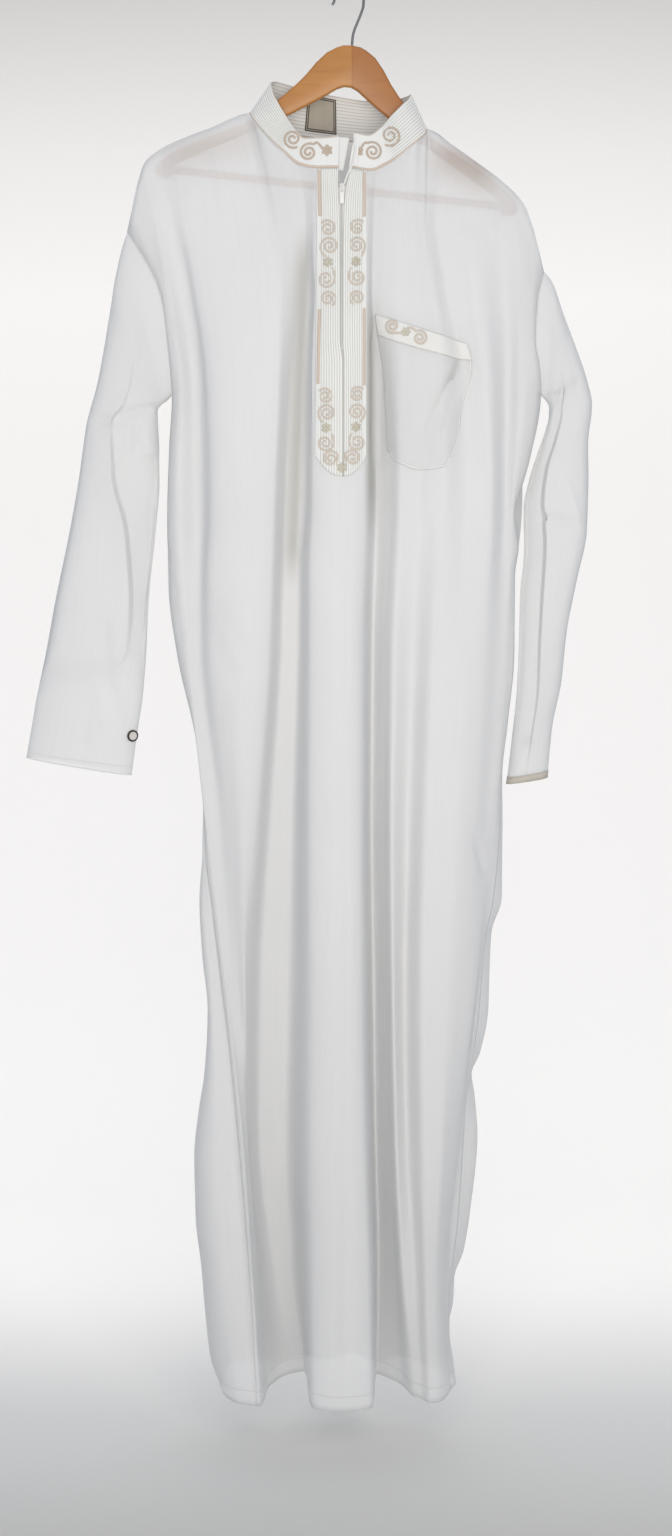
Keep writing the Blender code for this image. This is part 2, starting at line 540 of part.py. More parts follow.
def add_body_and_sleeves(cloth):
    """Front, back and both sleeves. Their seams share points and normals, so their walls meet edge to edge."""
    front, front_stations = panel(FRONT_FOLDS, -1)
    back, back_stations = panel(BACK_FOLDS, 1)
    ends = [0, RIGHT_NECK, LEFT_NECK, len(COLLAR) - 1]
    stations = np.unique(np.concatenate([ends, front_stations, back_stations]).round(4))
    under = len(UPPER_ROWS) - 1
    grids = {"front_panel": front, "back_panel": back}
    normals = {"front_panel": summed_normals(front), "back_panel": -summed_normals(back)}
    rings = {}
    for name, edge, rows in (("sleeve_right", 0, RIGHT_SLEEVE), ("sleeve_left", -1, LEFT_SLEEVE)):
        armhole = np.vstack([front[: under + 1, edge], back[under - 1 : 0 : -1, edge]])
        rings[name] = sleeve(armhole, rows)
        side = summed_normals(rings[name], closed=True)
        outwards = rings[name] - rings[name].mean(axis=1, keepdims=True)
        if (side * outwards).sum() < 0:
            side = -side
        shared_front = normals["front_panel"][:, edge]
        shared_back = normals["back_panel"][:, edge]
        shared_front[: under + 1] += side[0, : under + 1]
        shared_back[1:under] += side[0, : under : -1]
        total = shared_front[under:] + shared_back[under:]
        shared_front[under:] = total
        shared_back[under:] = total
        side[0] = np.vstack([shared_front[: under + 1], shared_back[under - 1 : 0 : -1]])
        side[0, 0, 1] = 0
        side[0, under] = (0, 0, -1)
        normals[name] = side
    on_shoulder = {name: ~in_neck(grid[0, :, 0]) for name, grid in grids.items()}
    for name, shoulder in on_shoulder.items():
        normals[name][0, shoulder, 1] = 0
        normals[name][0, ~shoulder, 2] = np.maximum(normals[name][0, ~shoulder, 2], 0)
        normals[name][under, (0, -1)] = (0, 0, -1)
    towards = {}
    for name, edge in (("sleeve_right", 0), ("sleeve_left", -1)):
        beside = 1 if edge == 0 else -2
        front_way = unit(front[: under + 1, beside] - front[: under + 1, edge])
        back_way = unit(back[: under + 1, beside] - back[: under + 1, edge])
        way = np.vstack([front_way, back_way[under - 1 : 0 : -1]])
        way[0] = unit(front_way[0] * (1, 0, 1))
        way[under] = unit(np.array([-1.0 if edge else 1.0, 0, 0]))
        towards[name] = way
    for name in ("front_panel", "back_panel"):
        grid = grids[name]
        first = unit(grid[:, 1] - grid[:, 0])
        last = unit(grid[:, -2] - grid[:, -1])
        grid[:, 0] += SEAM * first
        grid[:, -1] += SEAM * last
    front[0, on_shoulder["front_panel"], 1] = -SEAM
    back[0, on_shoulder["back_panel"], 1] = SEAM
    for name, way in towards.items():
        rings[name][0] -= SEAM * way
        grids[name] = rings[name]
    slit = [fold[0] for fold in FRONT_FOLDS].index("slit_right_edge")
    first = 2 + sum(fold[1] for fold in FRONT_FOLDS[:slit])
    cut = {(r, first + c) for r in range(under) if front[r + 1, first, 2] > PANEL_SLIT_END for c in (0, 1)}
    for name, grid in grids.items():
        inner = grid - WALL * unit(normals[name])
        wall(name, grid, inner, cloth, closed=name in rings, cut=cut if name == "front_panel" else ())
    return grids, stations


def face_tree(grid, closed=False):
    """A grid's outer face, to find where a piece lies on it."""
    if closed:
        grid = np.concatenate([grid, grid[:, :1]], axis=1)
    rows, columns = grid.shape[:2]
    points = [Vector(point) for point in grid.reshape(-1, 3)]
    faces = [
        (r * columns + c, r * columns + c + 1, (r + 1) * columns + c + 1, (r + 1) * columns + c)
        for r in range(rows - 1)
        for c in range(columns - 1)
    ]
    return BVHTree.FromPolygons(points, faces)


def lie_on(tree, x, z, clear):
    """The point in front of the panel at x and z, this far clear of it."""
    hit, normal, _, _ = tree.ray_cast(Vector((x, -AHEAD, z)), Vector((0, 1, 0)))
    return x, hit.y - clear / max(abs(normal.y), STEEPEST), z


def add_placket(tree, cloth):
    """The ribbed strip: two halves either side of the zip's slit, joined under it, with a pointed end."""
    edge_rows = np.array(PLACKET_EDGES, float)
    slit_rows = np.array(SLIT, float)
    per_half = 2 * PLACKET_RIBS + 1
    outer = []
    inner = []
    cut = set()
    for row in range(PLACKET_ROWS + 1):
        share = row / PLACKET_ROWS
        outer_line = []
        inner_line = []
        for half in (-1, 1):
            for column in range(per_half):
                across = column / (per_half - 1)
                from_middle = 1 - across if half < 0 else across
                foot = PLACKET_TIP + (PLACKET_CORNER - PLACKET_TIP) * from_middle**TIP_ROUNDING
                z = PLACKET_TOP + share * (foot - PLACKET_TOP)
                edges = smooth(edge_rows[:, 0], edge_rows[:, 1:], z)
                middle, open_half = smooth(slit_rows[:, 0], slit_rows[:, 1:], z)
                slit_x = middle + half * open_half
                edge_x = edges[0] if half < 0 else edges[1]
                x = slit_x + (edge_x - slit_x) * from_middle
                rib = RIB_HEIGHT * (column % 2)
                inner_line.append(lie_on(tree, x, z, LAY_GAP))
                outer_line.append(lie_on(tree, x, z, LAY_GAP + WALL + rib))
        if inner_line[per_half][2] > SLIT_END - SLIT_OVERLAP:
            cut.add((row, per_half - 1))
        outer.append(outer_line)
        inner.append(inner_line)
    wall("placket", np.array(outer), np.array(inner), cloth, cut=cut)


def add_block(name, centre, size, material=None):
    """A block of this size. With a material it is a part, and without one it is a cutter or joins a part."""
    bpy.ops.mesh.primitive_cube_add(size=1)
    block = bpy.context.object
    block.name = name
    for old in list(block.users_collection):
        old.objects.unlink(block)
    (PARTS if material else CUTTERS).objects.link(block)
    for vert in block.data.vertices:
        vert.co = Vector([(c + v * s) * MM for c, v, s in zip(centre, vert.co, size)])
    if material:
        block.data.materials.append(material)
    else:
        block.hide_render = True
        block.display_type = "WIRE"
    return block


def combine(body, other, operation):
    change = body.modifiers.new(operation.lower(), "BOOLEAN")
    change.operation = operation
    change.object = other


def add_zip(tree, tape_cloth, metal):
    """The two tapes that fill the panel's slit, the slider on them, and its pull tab, hung from the bridge."""
    slit_rows = np.array(SLIT, float)
    folds = {fold[0]: fold_rows(fold[3]) for fold in FRONT_FOLDS}
    for name, half, edge in (("zip_tape_right", -1, "slit_right_edge"), ("zip_tape_left", 1, "slit_left_edge")):
        outer = []
        inner = []
        for z in np.linspace(TAPE_TOP, TAPE_END, TAPE_ROWS + 1):
            middle, open_half = smooth(slit_rows[:, 0], slit_rows[:, 1:], z)
            spread = max(open_half - TAPE_BESIDE_SLIT, 0) if z > SLIDER_Z else 0
            start = at_height(folds[edge], z)[0] - half * TAPE_INSET
            end = middle + half * (SEAM + spread)
            line = [start + (end - start) * share for share in (0, 0.5, 1)]
            outer.append([lie_on(tree, x, z, 0) for x in line])
            inner.append([lie_on(tree, x, z, -TAPE) for x in line])
        wall(name, np.array(outer), np.array(inner), tape_cloth)
    middle = smooth(slit_rows[:, 0], slit_rows[:, 1:], SLIDER_Z)[0]
    back = lie_on(tree, middle, SLIDER_Z, TOUCH)[1]
    slider = add_block("zip_slider", (middle, back - SLIDER[1] / 2, SLIDER_Z), SLIDER, metal)
    sunk = 0.1
    bridge_y = back - SLIDER[1] - BRIDGE[1] / 2
    bridge_size = (BRIDGE[0], BRIDGE[1] + sunk, BRIDGE[2])
    bridge = add_block("slider_bridge", (middle, bridge_y + sunk / 2, SLIDER_Z), bridge_size)
    tunnel_y = bridge_y + BRIDGE_BAR / 2
    tunnel_size = (BRIDGE[0] * 2, BRIDGE[1] - BRIDGE_BAR, BRIDGE[2] - 2 * BRIDGE_BAR)
    tunnel = add_block("bridge_tunnel", (middle, tunnel_y, SLIDER_Z), tunnel_size)
    combine(bridge, tunnel, "DIFFERENCE")
    combine(slider, bridge, "UNION")
    bar_z = SLIDER_Z - PULL_DROP
    top = bar_z + PULL[1] / 2
    pull = add_block("zip_pull", (middle, tunnel_y, top - PULL[2] / 2), PULL, metal)
    eye_size = (PULL_EYE[0], PULL[1] * 3, PULL_EYE[1])
    eye = add_block("pull_eye", (middle, tunnel_y, top - PULL[1] - PULL_EYE[1] / 2), eye_size)
    combine(pull, eye, "DIFFERENCE")
    for vert in pull.data.vertices:
        vert.co -= Vector((middle, tunnel_y, bar_z)) * MM
    pull.location = Vector((middle, tunnel_y, bar_z)) * MM


def add_pocket(tree, cloth):
    """The patch pocket on the chest, which stands a little proud at its mouth, and the band along its top."""
    sides = np.array(POCKET_SIDES, float)
    foot = np.array(POCKET_FOOT, float)
    columns, rows = POCKET_GRID

    def spot(across, down, clear):
        right, left = smooth(sides[:, 0], sides[:, 1:], down)
        top = POCKET_TOP[0] + (POCKET_TOP[1] - POCKET_TOP[0]) * across
        low = smooth(foot[:, 0], foot[:, 1], across)
        belly = POCKET_BELLY * math.sin(math.pi * across) ** 0.7 * math.cos(math.pi / 2 * down) ** 2
        return lie_on(tree, right + (left - right) * across, top + (low - top) * down, clear + belly)

    def patch(name, down_to, count, clear, thick):
        shares = [(c / columns, down_to * r / count) for r in range(count + 1) for c in range(columns + 1)]
        shape = (count + 1, columns + 1, 3)
        outer = np.array([spot(a, d, clear + thick) for a, d in shares]).reshape(shape)
        inner = np.array([spot(a, d, clear) for a, d in shares]).reshape(shape)
        wall(name, outer, inner, cloth)

    patch("chest_pocket", 1, rows, POCKET_GAP, WALL)
    patch("pocket_band", BAND_HEIGHT / (POCKET_TOP[0] - foot[0, 1]), 2, POCKET_GAP + WALL + BAND_GAP, BAND_WALL)


def collar_grid(stations, heights):
    """Outer points of the collar and the normals there."""
    grid = np.array([collar_point(stations, height) for height in heights])
    normals = unit(summed_normals(grid))
    middle = np.array([sum(row[1][axis] for row in COLLAR) / len(COLLAR) for axis in range(3)])
    if (normals * (grid - middle)).sum() < 0:
        normals = -normals
    normals[-1, :, 2] = 0
    return grid, unit(normals)


def add_collar(stations, cloth, label_cloth):
    """The standing band, whose columns stand over the panels' columns, and the label inside its back."""
    grid, normals = collar_grid(stations, np.linspace(1, 0, COLLAR_ROWS + 1))
    wall("collar_band", grid, grid - WALL * normals, cloth)
    grid, normals = collar_grid(np.linspace(*LABEL_STATIONS, 7), np.linspace(*LABEL_HEIGHTS[::-1], 4))
    label = grid - (WALL + LAY_GAP) * normals
    wall("neck_label", label - LABEL_THICK * normals, label, label_cloth)


def add_button(name, tree, start, way, material):
    """A round button that lies flat on a cuff, where a line from start meets it."""
    hit, way = tree.ray_cast(Vector(start), -Vector(way))[:2]
    if way.dot(Vector(start) - hit) < 0:
        way = -way
    centre = (hit + way * (BUTTON_GAP + BUTTON_THICK / 2)) * MM
    turn = way.to_track_quat("Z", "Y").to_euler()
    bpy.ops.mesh.primitive_cylinder_add(
        vertices=14, radius=BUTTON_RADIUS * MM, depth=BUTTON_THICK * MM, location=centre, rotation=turn
    )
    button = bpy.context.object
    button.name = name
    place(button, material)
    edge = button.modifiers.new("rim", "BEVEL")
    edge.width = BUTTON_RIM * MM
    edge.segments = 1


def place(piece, material):
    """Moves a new object to the part's own collection and gives it its material."""
    for old in list(piece.users_collection):
        old.objects.unlink(piece)
    PARTS.objects.link(piece)
    piece.data.materials.append(material)


def hanger_place(out, up):
    """A point of the hanger's own frame, as x and z."""
    cos, sin = math.cos(HANGER_TILT), math.sin(HANGER_TILT)
    return HANGER_APEX[0] + out * cos + up * sin, HANGER_APEX[1] - out * sin + up * cos


def add_hanger(wood, metal):
    """The wooden arms, cut from one board with its edges rounded, the trouser bar and the hook."""
    half = [*ARM_TOP, *ARM_TIP, *ARM_LOW]
    outline = half + [(-out, up) for out, up in reversed(half[1:])]
    points = [hanger_place(out, up) for out, up in outline]
    mesh = bpy.data.meshes.new("hanger_body")
    mesh.from_pydata([(x * MM, 0, z * MM) for x, z in points], [], [tuple(range(len(points)))])
    board = add_object("hanger_body", mesh, wood)
    thick = board.modifiers.new("board", "SOLIDIFY")
    thick.thickness = HANGER_THICK * MM
    thick.offset = 0
    edge = board.modifiers.new("rounded", "BEVEL")
    edge.width = HANGER_ROUND * MM
    edge.segments = 1
    edge.limit_method = "ANGLE"
    edge.angle_limit = math.radians(60)
    mesh.shade_smooth()

    x, z = hanger_place(0, BAR_HEIGHT)
    bpy.ops.mesh.primitive_cylinder_add(
        vertices=12, radius=BAR_RADIUS * MM, depth=2 * BAR_HALF * MM,
        location=(x * MM, 0, z * MM), rotation=(0, math.pi / 2 + HANGER_TILT, 0),
    )
    bar = bpy.context.object
    bar.name = "hanger_bar"
    place(bar, wood)

    shank = np.array([*HOOK_SHANK, (HOOK_RADIUS, WIRE / 2 - HOOK_RADIUS)])
    run = np.concatenate([[0], np.cumsum(np.linalg.norm(np.diff(shank, axis=0), axis=1))])
    route = smooth(run, shank, np.linspace(0, run[-1], 9)).tolist()
    for step in range(1, HOOK_STEPS + 1):
        turn = math.pi * step / HOOK_STEPS
        route.append([HOOK_RADIUS * math.cos(turn), WIRE / 2 - HOOK_RADIUS * (1 - math.sin(turn))])
    route += HOOK_END
    curve = bpy.data.curves.new("hanger_hook", "CURVE")
    curve.dimensions = "3D"
    curve.bevel_depth = WIRE / 2 * MM
    curve.bevel_resolution = 2
    curve.use_fill_caps = True
    line = curve.splines.new("POLY")
    line.points.add(len(route) - 1)
    for point, (x, z) in zip(line.points, route):
        point.co = (x * MM, 0, z * MM, 1)
    hook = bpy.data.objects.new("hanger_hook", curve)
    place(hook, metal)


def build():
    for old in list(bpy.data.objects):
        bpy.data.objects.remove(old, do_unlink=True)
    bpy.context.scene.collection.children.link(PARTS)
    bpy.context.scene.collection.children.link(CUTTERS)
    cloth = add_material("white_polyester", (0.82, 0.83, 0.84), 0.7)
    tape_cloth = add_material("zip_tape", (0.85, 0.85, 0.84), 0.8)
    label_cloth = add_material("woven_label", (0.38, 0.37, 0.33), 0.85)
    zip_metal = add_material("white_enamelled_metal", (0.75, 0.75, 0.74), 0.35)
    button_plastic = add_material("dark_rimmed_button", (0.09, 0.08, 0.07), 0.4)
    wood = add_material("varnished_beech", (0.52, 0.25, 0.08), 0.4)
    steel = add_material("steel_wire", (0.35, 0.35, 0.36), 0.3, 1.0)
    grids, stations = add_body_and_sleeves(cloth)
    front = face_tree(grids["front_panel"])
    add_placket(front, cloth)
    add_zip(front, tape_cloth, zip_metal)
    add_pocket(front, cloth)
    add_collar(stations, cloth, label_cloth)
    for name, cuff, start, way in BUTTONS:
        add_button(name, face_tree(grids[cuff], closed=True), start, way, button_plastic)
    add_hanger(wood, steel)


PARTS = bpy.data.collections.new("thobe_robe")
CUTTERS = bpy.data.collections.new("cutters")
build()
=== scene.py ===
"""The looks of a white thobe robe on a plain wooden hanger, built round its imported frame.

Metres, +Z up; tables are in millimetres. The cloth is made as on the solids, from fold lines that run down from the
shoulders and the neck, but as thin, fine shells, with their ironed creases, seams, braid and stitching.
"""

import math

import bmesh
import bpy
import numpy as np
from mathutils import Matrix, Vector
from mathutils.bvhtree import BVHTree


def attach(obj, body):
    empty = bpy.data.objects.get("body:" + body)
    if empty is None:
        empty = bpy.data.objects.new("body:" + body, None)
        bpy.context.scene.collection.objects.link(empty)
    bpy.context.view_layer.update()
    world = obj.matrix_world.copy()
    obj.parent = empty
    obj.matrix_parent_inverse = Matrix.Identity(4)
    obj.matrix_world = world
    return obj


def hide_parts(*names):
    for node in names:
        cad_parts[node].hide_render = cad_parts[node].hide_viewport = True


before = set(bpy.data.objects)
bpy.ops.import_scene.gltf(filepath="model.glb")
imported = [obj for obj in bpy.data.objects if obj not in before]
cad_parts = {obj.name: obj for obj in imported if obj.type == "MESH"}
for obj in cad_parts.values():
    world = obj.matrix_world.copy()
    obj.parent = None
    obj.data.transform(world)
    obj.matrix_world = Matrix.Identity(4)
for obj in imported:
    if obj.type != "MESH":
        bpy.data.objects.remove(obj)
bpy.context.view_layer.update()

MM = 0.001
BODY = "robe_on_hanger"

# Fineness of the shells
FINE_UPPER = 64  # rows from a panel's top edge to the underarm
FINE_LOWER = 150  # rows from there to the hem
PANEL_COLUMNS = {-1: 200, 1: 170}
SHEET = 0.6  # thickness of the cloth's shell
SLEEVE_RINGS = 130

# Cloth and seams
WALL = 1.6  # thickness of the cloth's wall
SEAM = 0.18  # each piece ends this far from the seam line, so two pieces are 0.3 apart
LAY_GAP = 0.5  # between a panel and a piece that lies on it
TOUCH = 0.3  # between hard pieces that meet
UNDERARM_Z = -460
HEM_Z = -1667
ARMHOLE_OPEN = {-1: 10, 1: 16}  # how far the armhole opens to the front and to the back at its middle
CROWN = 12  # over this drop the shoulder rolls from the seam on top to the panel's face
NECK_ROLL = 60  # the same, from the collar's foot
AHEAD = 400  # in front of all the cloth
STEEPEST = 0.7  # a piece that lies on a panel keeps its gap on faces turned no further than this, as a cosine

# Where the rows of a panel lie: shares of the drop from the top edge to the underarm, and heights below it
UPPER_ROWS = (0, 0.004, 0.016, 0.045, 0.11, 0.21, 0.33, 0.47, 0.63, 0.81, 1)
LOWER_ROWS = (
    -500, -550, -595, -650, -761, -844, -910, -970, -1057, -1100, -1170, -1249, -1285, -1330, -1380, -1445, -1510,
    -1560, HEM_Z,
)

# Side seams. Rows: z, x, y
RIGHT_SEAM = (
    (-273, -256, 0), (-307, -234, -2), (-328, -223, -3), (-354, -215, -4), (-386, -211, -4), (-460, -206, -3),
    (-521, -210, -2), (-615, -213, -4), (-684, -212, -5), (-763, -202, -6), (-866, -180, -10), (-932, -172, -14),
    (-1000, -170, -20), (-1058, -163, -25), (-1150, -152, -32), (-1250, -140, -42), (-1350, -131, -50),
    (-1520, -118, -60), (-1667, -110, -66),
)
LEFT_SEAM = (
    (-318, 226, 0), (-351, 218, -2), (-396, 216, -3), (-431, 222, -3), (-460, 224, -2), (-534, 212, -2),
    (-566, 203, -2), (-594, 195, -2), (-638, 200, -3), (-663, 196, -3), (-761, 196, -4), (-844, 189, -4),
    (-910, 182, -5), (-968, 181, -6), (-1057, 174, -8), (-1098, 166, -8), (-1150, 161, -8), (-1193, 158, -9),
    (-1249, 151, -9), (-1300, 143, -10), (-1353, 140, -10), (-1445, 135, -11), (-1520, 127, -12),
    (-1593, 120, -12), (-1667, 127, -13),
)

# Heights at which the fold lines are given, from the top of the chest to the hem
LEVELS = (-260, -330, -450, -580, -750, -950, -1150, -1350, -1520, HEM_Z)

# Fold lines of the front, from the wearer's right to the left. Columns: name, columns of faces up to the next
# line, top (x, y, z), and then (x, y) at each of the levels
FRONT_FOLDS = (
    ("arm_ridge", 1, (-236, 0, -197),
     ((-224, -14), (-211, -19), (-194, -21), (-200, -20), (-190, -20), (-171, -24), (-147, -38), (-126, -54),
      (-115, -62), (-107, -66))),
    ("arm_valley", 2, (-218, 0, -181),
     ((-204, -11), (-191, -11), (-179, -10), (-177, -9), (-177, -16), (-155, -26), (-141, -36), (-123, -46),
      (-112, -46), (-102, -44))),
    ("chest_right_side", 2, (-200, 0, -172),
     ((-189, -14), (-177, -22), (-163, -34), (-162, -40), (-161, -38), (-142, -36), (-131, -38), (-120, -36),
      (-109, -26), (-99, -12))),
    ("chest_right_middle", 2, (-160, 0, -157),
     ((-134, -18), (-127, -30), (-119, -44), (-118, -52), (-122, -52), (-124, -46), (-124, -42), (-119, -22),
      (-106, -4), (-90, 10))),
    ("right_valley_lip", 4, (-114, 0, -140),
     ((-87, -22), (-80, -32), (-82, -42), (-87, -46), (-93, -44), (-108, -40), (-119, -32), (-116, -6),
      (-102, 14), (-81, 26))),
    ("right_valley", 1, (-58, -33, -200),
     ((-50, -26), (-52, -22), (-65, -20), (-72, -16), (-77, -10), (-91, -2), (-105, 6), (-109, 14), (-93, 28),
      (-69, 36))),
    ("right_recess", 2, (-47, -36, -204),
     ((-45, -29), (-47, -26), (-54, -22), (-58, -18), (-61, -10), (-68, 0), (-73, 12), (-78, 22), (-71, 34),
      (-56, 42))),
    ("ridge_right_edge", 2, (-37, -37, -205),
     ((-38, -34), (-41, -38), (-45, -46), (-44, -52), (-44, -56), (-45, -60), (-44, -62), (-45, -64),
      (-44, -66), (-44, -68))),
    ("slit_right_edge", 2, (-14, -38, -205),
     ((-15, -38), (-15, -44), (-15, -52), (-15, -60), (-15, -66), (-15, -70), (-15, -73), (-15, -76),
      (-15, -79), (-15, -82))),
    ("slit_left_edge", 2, (1, -38, -205),
     ((0, -38), (0, -44), (0, -52), (0, -60), (-1, -66), (-2, -70), (-3, -73), (-4, -76), (-5, -79),
      (-5, -82))),
    ("ridge_left_edge", 2, (21, -36.5, -208),
     ((21, -34), (21, -38), (21, -46), (20, -52), (15, -56), (15, -60), (16, -62), (20, -64), (26, -66),
      (29, -68))),
    ("left_recess", 2, (33, -34, -205),
     ((29, -28), (28, -26), (32, -22), (33, -18), (29, -12), (28, -4), (31, 6), (34, 16), (38, 26), (37, 34))),
    ("left_recess_lip", 1, (43, -31, -200),
     ((40, -26), (39, -28), (44, -30), (47, -30), (41, -30), (41, -26), (44, -22), (48, -16), (56, -8),
      (66, 0))),
    ("small_ridge", 1, (58, -25, -190),
     ((54, -24), (55, -30), (60, -40), (60, -44), (53, -46), (51, -46), (53, -46), (58, -44), (68, -40),
      (79, -34))),
    ("small_valley", 2, (74, -17, -177),
     ((73, -20), (77, -30), (81, -42), (81, -46), (75, -34), (70, -28), (67, -26), (70, -30), (80, -40),
      (90, -44))),
    ("chest_left_middle", 2, (90, 0, -158),
     ((89, -18), (95, -30), (105, -44), (107, -50), (99, -52), (92, -52), (88, -54), (91, -56), (95, -56),
      (100, -56))),
    ("shoulder_valley", 2, (112, 0, -171),
     ((100, -15), (111, -20), (135, -28), (139, -36), (132, -46), (124, -50), (116, -52), (110, -54),
      (104, -54), (108, -54))),
    ("side_ridge", 1, (143, 0, -192),
     ((136, -14), (146, -26), (159, -36), (163, -38), (157, -38), (149, -38), (138, -40), (122, -42),
      (112, -44), (116, -46))),
    ("side_valley", 1, (180, 0, -219),
     ((176, -11), (182, -11), (185, -10), (185, -12), (177, -20), (164, -24), (153, -26), (131, -28),
      (118, -30), (121, -34))),
    ("side_lip", 1, (205, 0, -247),
     ((197, -11), (198, -16), (199, -22), (192, -16), (187, -14), (176, -14), (157, -14), (136, -16),
      (123, -18), (124, -22))),
)

# Fold lines of the back, in the same form. Its first two lines and its last one turn round to the front, where
# they make the robe's outline. Those have rows of z, x, y
WRAP = (
    (-258, -253, 6), (-310, -227, 14), (-354, -210, 16), (-400, -206, 15), (-460, -205, 3), (-521, -210, 3),
    (-684, -212, 2), (-763, -203, 2), (-866, -181, -2), (-932, -173, -8), (-1000, -174, -16), (-1058, -174, -22),
    (-1150, -166, -32), (-1250, -163, -40), (-1350, -165, -46), (-1520, -156, -52), (-1667, -138, -54),
)
RIGHT_TURN = (
    (-235, -247, 10), (-300, -225, 17), (-354, -204, 20), (-400, -199, 20), (-460, -201, 10), (-521, -208, 10),
    (-615, -211, 12), (-684, -210, 12), (-763, -202, 12), (-866, -181, 8), (-932, -172, 0), (-974, -171, -6),
    (-1012, -175, -10),
    (-1058, -178, -14), (-1123, -175, -16), (-1186, -169, -18), (-1220, -170, -18), (-1270, -174, -16),
    (-1314, -181, -14), (-1373, -187, -12), (-1450, -186, -10), (-1507, -180, -10), (-1573, -175, -10),
    (-1628, -169, -10), (-1667, -156, -10),
)
LEFT_TURN = (
    (-275, 215, 10), (-330, 209, 15), (-396, 206, 17), (-460, 217, 10), (-534, 211, 9), (-566, 202, 9),
    (-594, 195, 9), (-638, 200, 9), (-663, 196, 9), (-761, 197, 9), (-844, 190, 9), (-910, 184, 9),
    (-968, 185, 8), (-1057, 185, 8), (-1098, 173, 8), (-1141, 171, 8), (-1193, 170, 8), (-1249, 160, 8),
    (-1273, 150, 8), (-1300, 154, 8), (-1353, 158, 8), (-1445, 150, 8), (-1498, 142, 8), (-1530, 131, 8),
    (-1561, 130, 8), (-1593, 124, 8), (-1635, 130, 8), (-1667, 134, 8),
)
BACK_FOLDS = (
    ("wrap", 1, (-253, 0, -259), WRAP),
    ("right_turn", 1, (-247, 0, -237), RIGHT_TURN),
    ("right_back", 2, (-236, 0, -197),
     ((-226, 16), (-208, 24), (-196, 26), (-200, 34), (-190, 36), (-165, 38), (-164, 36), (-176, 40),
      (-170, 46), (-152, 52))),
    ("shoulder_blade_right", 2, (-190, 0, -168),
     ((-172, 20), (-160, 34), (-155, 38), (-158, 44), (-150, 46), (-135, 50), (-135, 54), (-140, 62),
      (-138, 74), (-122, 84))),
    ("back_valley_right", 2, (-150, 0, -153.5),
     ((-125, 22), (-115, 34), (-112, 42), (-112, 38), (-108, 38), (-104, 44), (-104, 58), (-108, 66),
      (-104, 74), (-92, 70))),
    ("back_ridge_right", 4, (-114, 0, -140),
     ((-76, 34), (-70, 40), (-68, 46), (-66, 54), (-64, 58), (-66, 66), (-68, 72), (-70, 82), (-68, 90),
      (-60, 96))),
    ("back_middle_valley", 2, (-60, 38, -160),
     ((-32, 42), (-30, 42), (-30, 44), (-30, 44), (-30, 44), (-32, 48), (-34, 56), (-36, 66), (-34, 74),
      (-28, 80))),
    ("back_middle_ridge", 2, (-12, 42, -165),
     ((4, 42), (5, 44), (5, 48), (5, 54), (5, 58), (4, 64), (2, 74), (0, 88), (2, 98), (4, 104))),
    ("back_valley_left", 4, (38, 39, -168),
     ((38, 40), (40, 42), (40, 44), (42, 44), (42, 44), (40, 50), (38, 58), (36, 66), (36, 72), (38, 76))),
    ("back_ridge_left", 2, (90, 0, -158),
     ((76, 30), (80, 38), (80, 46), (84, 54), (82, 58), (78, 62), (72, 68), (66, 76), (66, 86), (68, 92))),
    ("shoulder_blade_left", 2, (124, 0, -179),
     ((112, 20), (120, 34), (122, 40), (124, 40), (120, 40), (112, 44), (104, 52), (94, 58), (92, 62),
      (96, 66))),
    ("side_fold_left", 1, (162, 0, -206),
     ((156, 18), (165, 28), (165, 34), (168, 40), (158, 46), (146, 48), (134, 48), (118, 50), (111, 52),
      (116, 56))),
    ("left_back", 1, (198, 0, -237),
     ((190, 14), (196, 20), (203, 24), (206, 27), (188, 30), (174, 32), (160, 32), (146, 32), (128, 34),
      (126, 36))),
    ("left_turn", 1, (215, 0, -277), LEFT_TURN),
)

# The collar band's stations, from its front end on the wearer's right, round the back, to its other front end.
# Columns: base x, y, z, and then top x, y, z
COLLAR = (
    ((-12, -38, -204.6), (-11, -33, -170)),
    ((-34, -37, -204.6), (-31, -32, -172)),
    ((-55, -34, -201), (-50, -29, -172)),
    ((-73, -28, -187), (-61, -25, -162)),
    ((-88, -22, -173), (-70, -20, -149)),
    ((-104, -15, -155), (-81, -15, -131)),
    ((-111, -9, -145), (-87, -8, -119)),
    ((-114, 0, -139.5), (-90, 2, -106)),
    ((-111, 10, -143), (-88, 12, -103)),
    ((-103, 20, -149), (-84, 22, -102)),
    ((-88, 30, -155), (-75, 33, -103)),
    ((-60, 38, -159.4), (-54, 40, -108)),
    ((-12, 42, -164.4), (-13, 43, -116)),
    ((28, 41, -166.6), (24, 42, -121)),
    ((60, 32, -167), (52, 36, -121)),
    ((80, 21, -165), (64, 24, -119.5)),
    ((87, 10, -161), (70, 12, -119)),
    ((90, 0, -157.5), (72, 0, -119)),
    ((88, -9, -163.5), (69, -8, -125)),
    ((81, -15, -170), (62, -15, -132)),
    ((69, -20, -180), (50, -18, -144)),
    ((43, -31, -199.6), (36, -26, -160)),
    ((24, -36, -207.4), (22, -31, -169)),
    ((3, -38, -204.6), (6, -33, -166)),
)
COLLAR_ROWS = 3
NECK_SEAM = 0.5  # the collar's foot stands this far above the panels' top edge
RIGHT_NECK = 7  # the collar's station on each shoulder seam
LEFT_NECK = 17

